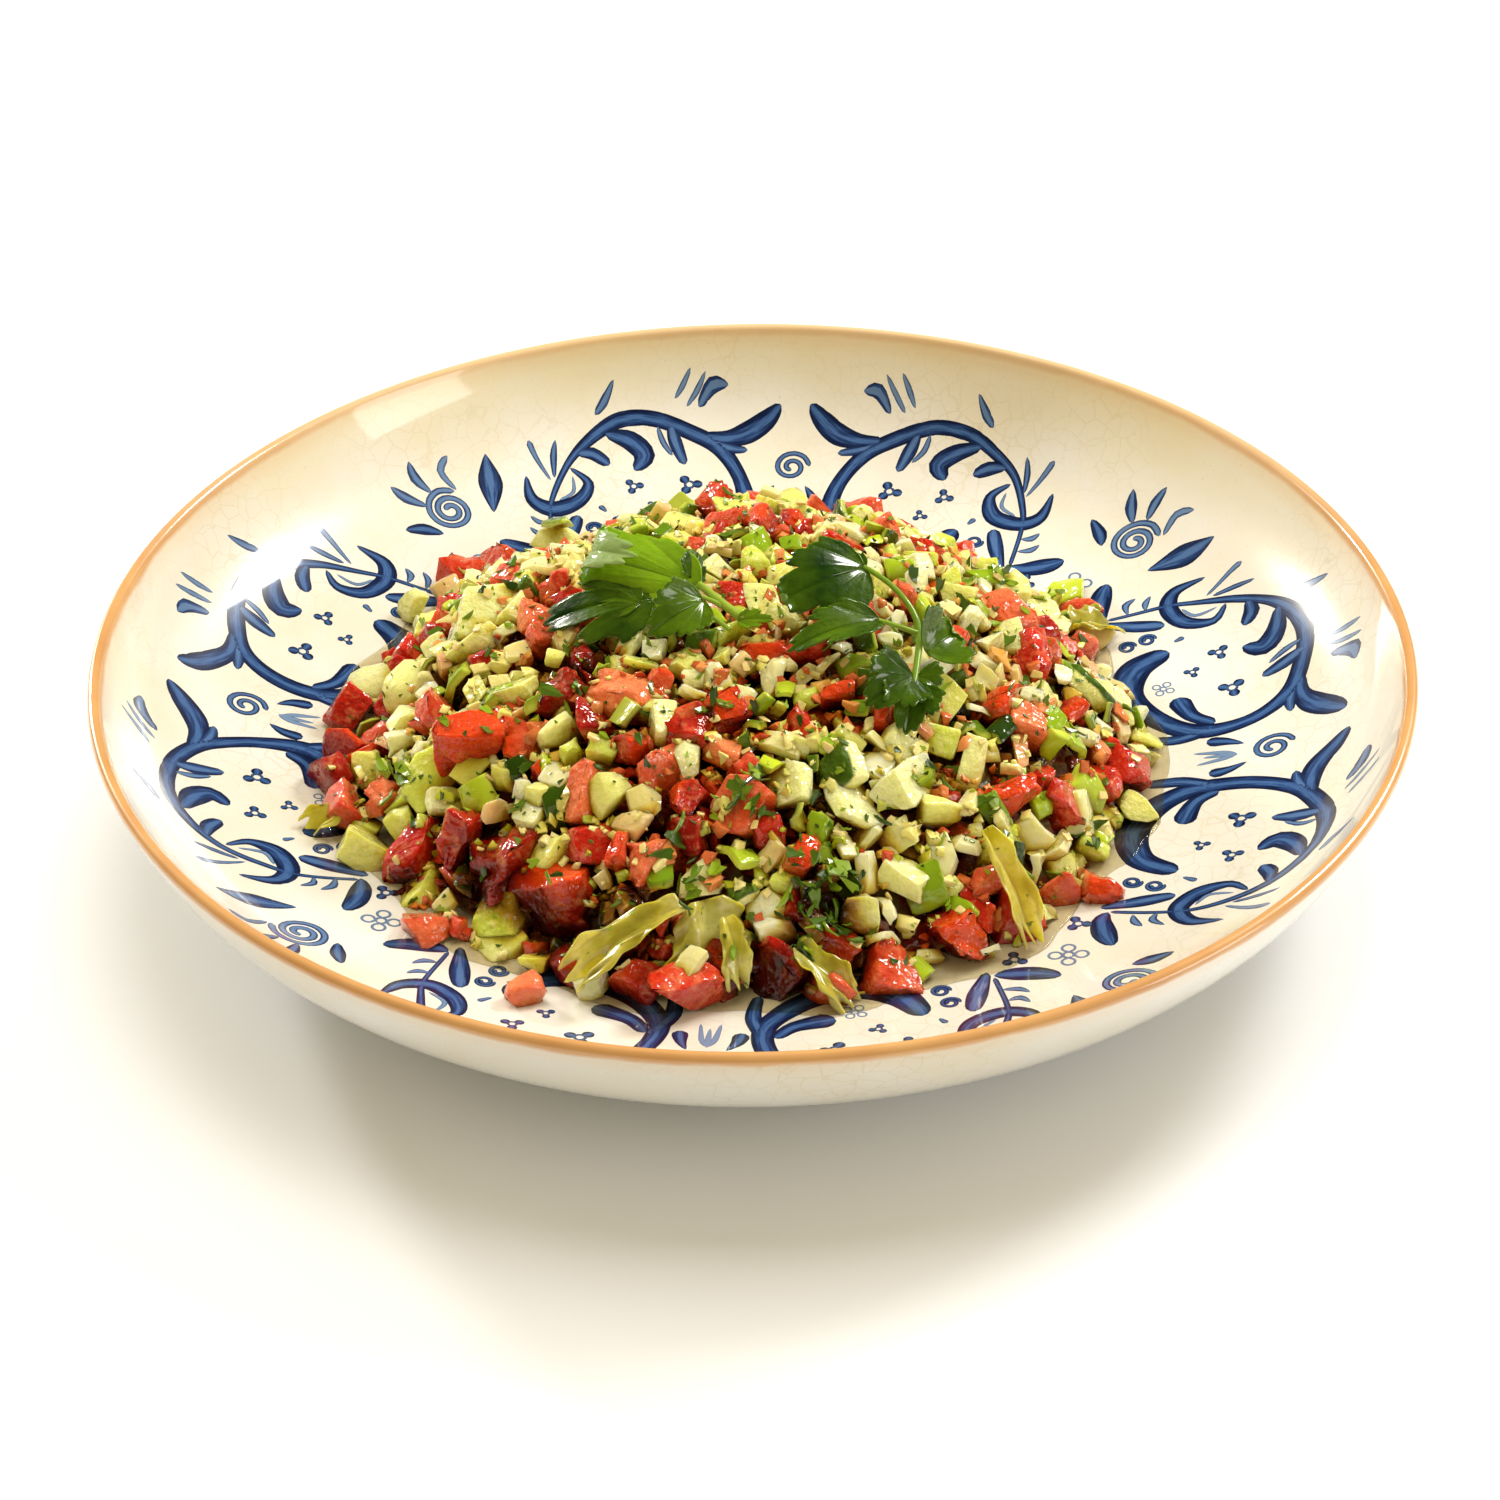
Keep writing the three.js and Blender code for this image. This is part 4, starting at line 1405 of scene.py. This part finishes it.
def parsley_leaf(name, base, tip, up, spread, lobing, arch, cup, pleat, lean, fold_at, tone):
    """A leaflet from its stalk to its tip, with its upper side towards the way given."""
    bpy.ops.object.select_all(action="DESELECT")
    bpy.ops.mesh.primitive_grid_add(x_subdivisions=leaf_rings, y_subdivisions=leaf_spokes, size=1.0)
    piece = bpy.context.object
    piece.name = name
    length = (tip - base).length
    along = (tip - base).normalized()
    side = up.cross(along).normalized()
    out = along.cross(side).normalized()
    for corner in piece.data.vertices:
        t = corner.co.x + 0.5
        angle = 2 * corner.co.y * math.radians(leaf_half_angle)
        reach = length * leaf_reach(angle, lobing) * (0.03 + 0.97 * t)
        a = reach * math.cos(angle)
        b = reach * math.sin(angle) * spread
        veins = abs(math.sin(1.5 * angle * (90 / leaf_half_angle) * 2)) ** 0.7
        height = arch * math.sin(math.pi * min(a / length, 1.0))
        height += cup * (b * b) / (length * 0.5) + lean * a * a / length
        height += pleat * veins * t - 0.0002 * math.exp(-(angle / 0.05) ** 2)
        # a leaf that folds rolls its tip up and lays it back over itself
        past = a - fold_at * length
        if past > 0:
            bend = fold_radius * length
            roll = min(past / bend, fold_turn)
            straight = past - roll * bend
            a = fold_at * length + bend * math.sin(roll) + straight * math.cos(roll)
            height += bend * (1 - math.cos(roll)) + straight * math.sin(roll)
        corner.co = base + along * a + side * b + out * height
    carry(piece.data, "tone", [tone] * len(piece.data.vertices))
    return piece


def stalk(name, points, radius):
    """A round stalk through points, tapering a little to its end."""
    curve = bpy.data.curves.new(name, "CURVE")
    curve.dimensions = "3D"
    curve.bevel_depth = radius
    curve.bevel_resolution = 3
    curve.use_fill_caps = True
    line = curve.splines.new("NURBS")
    line.points.add(len(points) - 1)
    line.use_endpoint_u = True
    line.order_u = 3
    line.resolution_u = 6
    for i, place in enumerate(points):
        line.points[i].co = (*place, 1.0)
        line.points[i].radius = 1.0 - 0.3 * i / (len(points) - 1)
    piece = bpy.data.objects.new(name, curve)
    bpy.context.scene.collection.objects.link(piece)
    select_only(piece)
    bpy.ops.object.convert(target="MESH")
    bpy.ops.object.shade_smooth()
    return bpy.context.object


def above(u, v, lift_mm):
    """The point that a pixel shows, lifted off the heap's outline."""
    return on_heap(u, v, -lift_mm / 1000)


def parsley_finish(name, dark, light, roughness):
    """Leaf green, darker or lighter by the leaf's tone, which paints the light shining through
    a leaf from behind and the shade on one that lies in it, with paler patches and fine veins.
    """
    finish = Finish(
        name, roughness, coat=1.0, coat_roughness=0.13, subsurface=0.45, radius=(0.0007, 0.0011, 0.0002)
    )
    patch = finish.ramp(finish.noise(130.0, 4.0), [(0.30, 0.0), (0.75, 0.20)])
    share = finish.maths("ADD", patch, finish.carried("tone"), clamp=True)
    finish.colour(finish.mix(share, dark, light))
    finish.relief(finish.noise(600.0, 3.0), 0.0005, 0.6)
    return finish.material


leaf_upper = parsley_finish("parsley_upper", (0.006, 0.030, 0.002), (0.30, 0.52, 0.012), 0.38)
leaf_under = parsley_finish("parsley_underside", (0.12, 0.20, 0.06), (0.34, 0.46, 0.16), 0.45)
leaf_stalk = parsley_finish("parsley_stalk", (0.10, 0.22, 0.012), (0.34, 0.48, 0.06), 0.35)
leaf_thickness = 0.00030


def give_leaf_finishes(piece):
    """Slot 0 is a leaf's upper side, 1 its underside and 2 the stalks."""
    piece.data.materials.clear()
    for material in (leaf_upper, leaf_under, leaf_stalk):
        piece.data.materials.append(material)


def make_sprig(name, node, leaves, stalks):
    """Model the leaflets and stalks of one sprig and join them."""
    parts = []
    for i, (base, tip, up, *shape) in enumerate(leaves):
        spread, lobing, arch, cup, pleat, lean, fold_at, tone = shape
        leaf = parsley_leaf(
            f"{name}_leaf_{i + 1}", above(*base), above(*tip), Vector(up).normalized(),
            spread, lobing, arch / 1000, cup, pleat / 1000, lean, fold_at, tone,
        )
        give_leaf_finishes(leaf)
        thicken(leaf, leaf_thickness, 0, back_material=1)
        parts.append(leaf)
    for i, (points, thick, tone) in enumerate(stalks):
        piece = stalk(f"{name}_stalk_{i + 1}", [above(*point) for point in points], thick / 2000)
        carry(piece.data, "tone", [tone] * len(piece.data.vertices))
        give_leaf_finishes(piece)
        for face in piece.data.polygons:
            face.material_index = 2
        parts.append(piece)
    sprig = join_pieces(name, parts)
    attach(sprig, "root")
    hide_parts(node)


# base pixel and lift in mm, tip pixel and lift, way up, spread, lobing, arch mm, cup,
# pleat mm, lean, where it folds over (flat is past its tip), tone: painted light, high
# for a leaf lit through from behind and low for one in shade
flat = 2.0
left_leaves = [
    ((701, 587, 6.2), (542, 551, 8.5), (0.12, -0.62, 0.77), 0.30, 0.10, 2.6, -0.45, 1.1, 0.0, 0.57, 0.50),
    ((704, 600, 5.4), (650, 634, 3.2), (0.05, -0.62, 0.78), 0.66, 0.12, 1.4, 0.50, 0.8, 0.0, flat, 0.15),
    ((655, 600, 4.0), (546, 620, 2.5), (-0.05, -0.30, 0.95), 0.62, 0.40, 2.0, -0.20, 0.9, -0.05, flat, 0.0),
    ((640, 604, 4.0), (588, 596, 4.0), (-0.05, -0.30, 0.95), 0.60, 0.40, 1.0, -0.20, 0.6, -0.05, flat, 0.05),
    ((690, 578, 7.0), (697, 553, 8.5), (0.60, -0.60, 0.50), 0.70, 0.20, 0.3, 0.0, 0.3, 0.0, flat, 0.0),
    ((738, 621, 3.0), (772, 619, 3.5), (0.0, -0.55, 0.83), 0.45, 0.30, 0.5, 0.3, 0.3, 0.0, flat, 0.35),
]
left_stalks = [
    ([(756, 626, 2.2), (736, 614, 3.6), (716, 598, 5.4), (699, 584, 6.6)], 2.1, 0.75),
    ([(722, 606, 4.6), (712, 600, 5.4), (702, 597, 5.8)], 1.2, 0.6),
    ([(730, 630, 2.6), (708, 612, 4.0), (682, 603, 4.4), (652, 600, 4.2)], 1.0, 0.5),
]
right_leaves = [
    ((866, 568, 9.2), (774, 604, 6.5), (-0.05, -0.62, 0.78), 0.62, 0.16, 2.4, -0.12, 0.8, -0.05, 0.86, 0.0),
    ((846, 564, 9.2), (800, 560, 9.0), (-0.10, -0.55, 0.82), 0.60, 0.20, 0.8, -0.12, 0.5, -0.05, flat, 0.0),
    ((880, 620, 6.8), (792, 650, 4.5), (0.00, -0.15, 0.98), 0.42, 0.22, 1.6, 0.50, 0.7, 0.0, flat, 0.05),
    ((926, 652, 5.6), (956, 630, 6.4), (0.10, -0.75, 0.65), 0.95, 0.14, 0.8, 0.50, 0.4, 0.0, 0.80, 0.15),
    ((914, 676, 5.0), (868, 704, 3.4), (0.05, -0.55, 0.83), 0.80, 0.18, 1.4, 0.40, 0.6, 0.0, flat, 0.0),
    ((914, 684, 4.6), (906, 732, 2.2), (0.05, -0.55, 0.83), 0.78, 0.18, 1.2, 0.35, 0.6, 0.0, flat, 0.05),
    ((918, 676, 4.8), (942, 690, 4.4), (0.25, -0.60, 0.75), 0.95, 0.16, 0.8, 0.30, 0.4, 0.0, 0.80, 0.15),
    ((866, 567, 9.4), (838, 559, 9.4), (-0.10, -0.45, 0.85), 0.60, 0.30, 0.5, 0.0, 0.3, 0.0, flat, 0.0),
]
right_stalks = [
    ([(914, 684, 4.4), (918, 660, 5.2), (920, 634, 6.0), (915, 614, 7.2), (901, 594, 8.6),
      (882, 577, 9.4), (864, 567, 9.3)], 1.5, 0.25),
    ([(920, 634, 5.8), (901, 627, 6.6), (879, 620, 7.0)], 1.2, 0.55),
]
make_sprig("parsley_left", "parsley_sprig_left", left_leaves, left_stalks)
make_sprig("parsley_right", "parsley_sprig_right", right_leaves, right_stalks)


# --- Chopped parsley ---------------------------------------------------------------
# Parsley chopped and tossed through the salad: flat torn flecks 1 to 6 mm, a little
# curled, stuck to whatever they fell on.
bpy.ops.object.select_all(action="DESELECT")
bpy.ops.mesh.primitive_cylinder_add(vertices=9, radius=0.5, depth=0.08, location=(0, 0, 0))
fleck_piece = bpy.context.object
for corner in fleck_piece.data.vertices:
    angle = math.atan2(corner.co.y, corner.co.x)
    jag = 1 + 0.32 * math.cos(3 * angle) + 0.12 * math.cos(7 * angle + 1.0)
    corner.co.x *= jag
    corner.co.y *= 0.62 * jag
    corner.co.z += 0.5 * corner.co.x ** 2
fleck = Template(fleck_piece)
fleck.skin = np.zeros(len(fleck.corners))

all_ground = landing_tree([core, tomato, cucumber, onion, green, crumbs, lettuce])
fleck_copies = []
loose_flecks = 1500
clump_spread = 0.0028


def lay_fleck(x, y, size, lift=0.0001):
    """Drop a fleck on whatever lies under it, where anything does."""
    place, normal = drop(x, y, all_ground)
    if place is None:
        return
    turn = flat_turn(normal, 0.28)
    stretch = (size, size * salad_random.uniform(0.25, 1.0), size)
    tone = salad_random.random()
    raised = place + normal * (lift + 0.03 * size)
    fleck_copies.append(copy_of(fleck, raised, turn, stretch, tone, pull=0.16, rough=0.03))


for _ in range(loose_flecks):
    lay_fleck(*random_spot(), 0.0009 + 0.0034 * salad_random.random() ** 4)
# clumps of parsley that show in the photograph: pixel, and how many flecks
seen_clumps = [
    (828, 900, 24), (822, 868, 14), (755, 808, 14), (682, 870, 10), (808, 935, 18),
    (560, 700, 5), (400, 775, 6), (1000, 580, 6), (905, 640, 5), (730, 690, 5),
]
for u, v, count in seen_clumps:
    middle = on_heap(u, v)
    for _ in range(count):
        lay_fleck(
            middle.x + salad_random.gauss(0, clump_spread), middle.y + salad_random.gauss(0, clump_spread),
            salad_random.uniform(0.0025, 0.0055), salad_random.uniform(0.0, 0.0012),
        )


def fleck_finish():
    """Chopped leaf, dark to yellow green."""
    finish = Finish("chopped_parsley", 0.35, coat=0.5)
    finish.colour(finish.ramp(finish.carried("tone"), [
        (0.0, (0.022, 0.055, 0.002)), (0.5, (0.085, 0.17, 0.005)), (1.0, (0.28, 0.42, 0.012)),
    ]))
    return finish.material


join_copies("chopped_parsley", fleck_copies, fleck_finish(), smooth=False)


# --- Stray tomato ------------------------------------------------------------------
# One bit of pale tomato that rolled off the heap and lies alone on the glaze.
stray_size = 0.0062
stray_place = Vector((-0.0427, -0.0825, 0.0))
stray_place.z = inner_height(stray_place.xy.length) + 0.33 * stray_size
stray_shape = Template(cut_dice("stray_chunk", 3, 0.14, 4.0))
stray_turn = Matrix.Rotation(0.5, 3, "Z")
stray_stretch = (stray_size, 0.84 * stray_size, 0.74 * stray_size)
stray_copy = copy_of(stray_shape, stray_place, stray_turn, stray_stretch, 0.80, pull=0.22, rough=0.060)
stray = join_copies("stray_tomato_bit", [stray_copy], wet_tomato)
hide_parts("stray_tomato")


# --- Floor and light ---------------------------------------------------------------
# A plain pale floor, and a warm studio light: one soft lamp at the back right, a small
# one low at the back left, a weak one at the right, a wide one overhead, and an even
# warm glow from the room.
bpy.ops.object.select_all(action="DESELECT")
bpy.ops.mesh.primitive_plane_add(size=6.0, location=(0, 0, 0))
floor = bpy.context.object
floor.name = "floor"
pale_floor = Finish("pale_floor", 0.7)
pale_floor.colour((0.84, 0.88, 0.97))
floor.data.materials.append(pale_floor.material)


def area_lamp(name, place, side, power, colour):
    """A square lamp that points at the middle of the dish."""
    lamp = bpy.data.objects.new(name, bpy.data.lights.new(name, "AREA"))
    bpy.context.scene.collection.objects.link(lamp)
    lamp.data.shape = "RECTANGLE"
    lamp.data.size = side
    lamp.data.size_y = side
    lamp.data.energy = power
    lamp.data.color = colour
    aim = (Vector((0, 0, rim_height)) - Vector(place)).to_track_quat("-Z", "Y")
    lamp.matrix_world = Matrix.Translation(place) @ aim.to_matrix().to_4x4()
    return lamp


area_lamp("key_lamp", (0.70, 0.56, 0.76), 0.32, 8.6, (1.0, 0.98, 0.93))
area_lamp("back_lamp", (-0.76, 0.78, 0.41), 0.14, 8.8, (1.0, 0.96, 0.88))
area_lamp("side_lamp", (0.86, -0.34, 0.30), 0.36, 2.0, (1.0, 0.97, 0.92))
overhead = area_lamp("overhead_lamp", (0.00, 0.30, 1.20), 0.80, 9.7, (1.0, 0.98, 0.92))
overhead.visible_glossy = False

world = bpy.data.worlds.new("room_glow")
world.use_nodes = True
background = world.node_tree.nodes["Background"]
background.inputs["Color"].default_value = (1.0, 0.81, 0.47, 1.0)
background.inputs["Strength"].default_value = 0.66
world.cycles_visibility.glossy = False
bpy.context.scene.world = world
bpy.context.scene.view_settings.view_transform = "Standard"
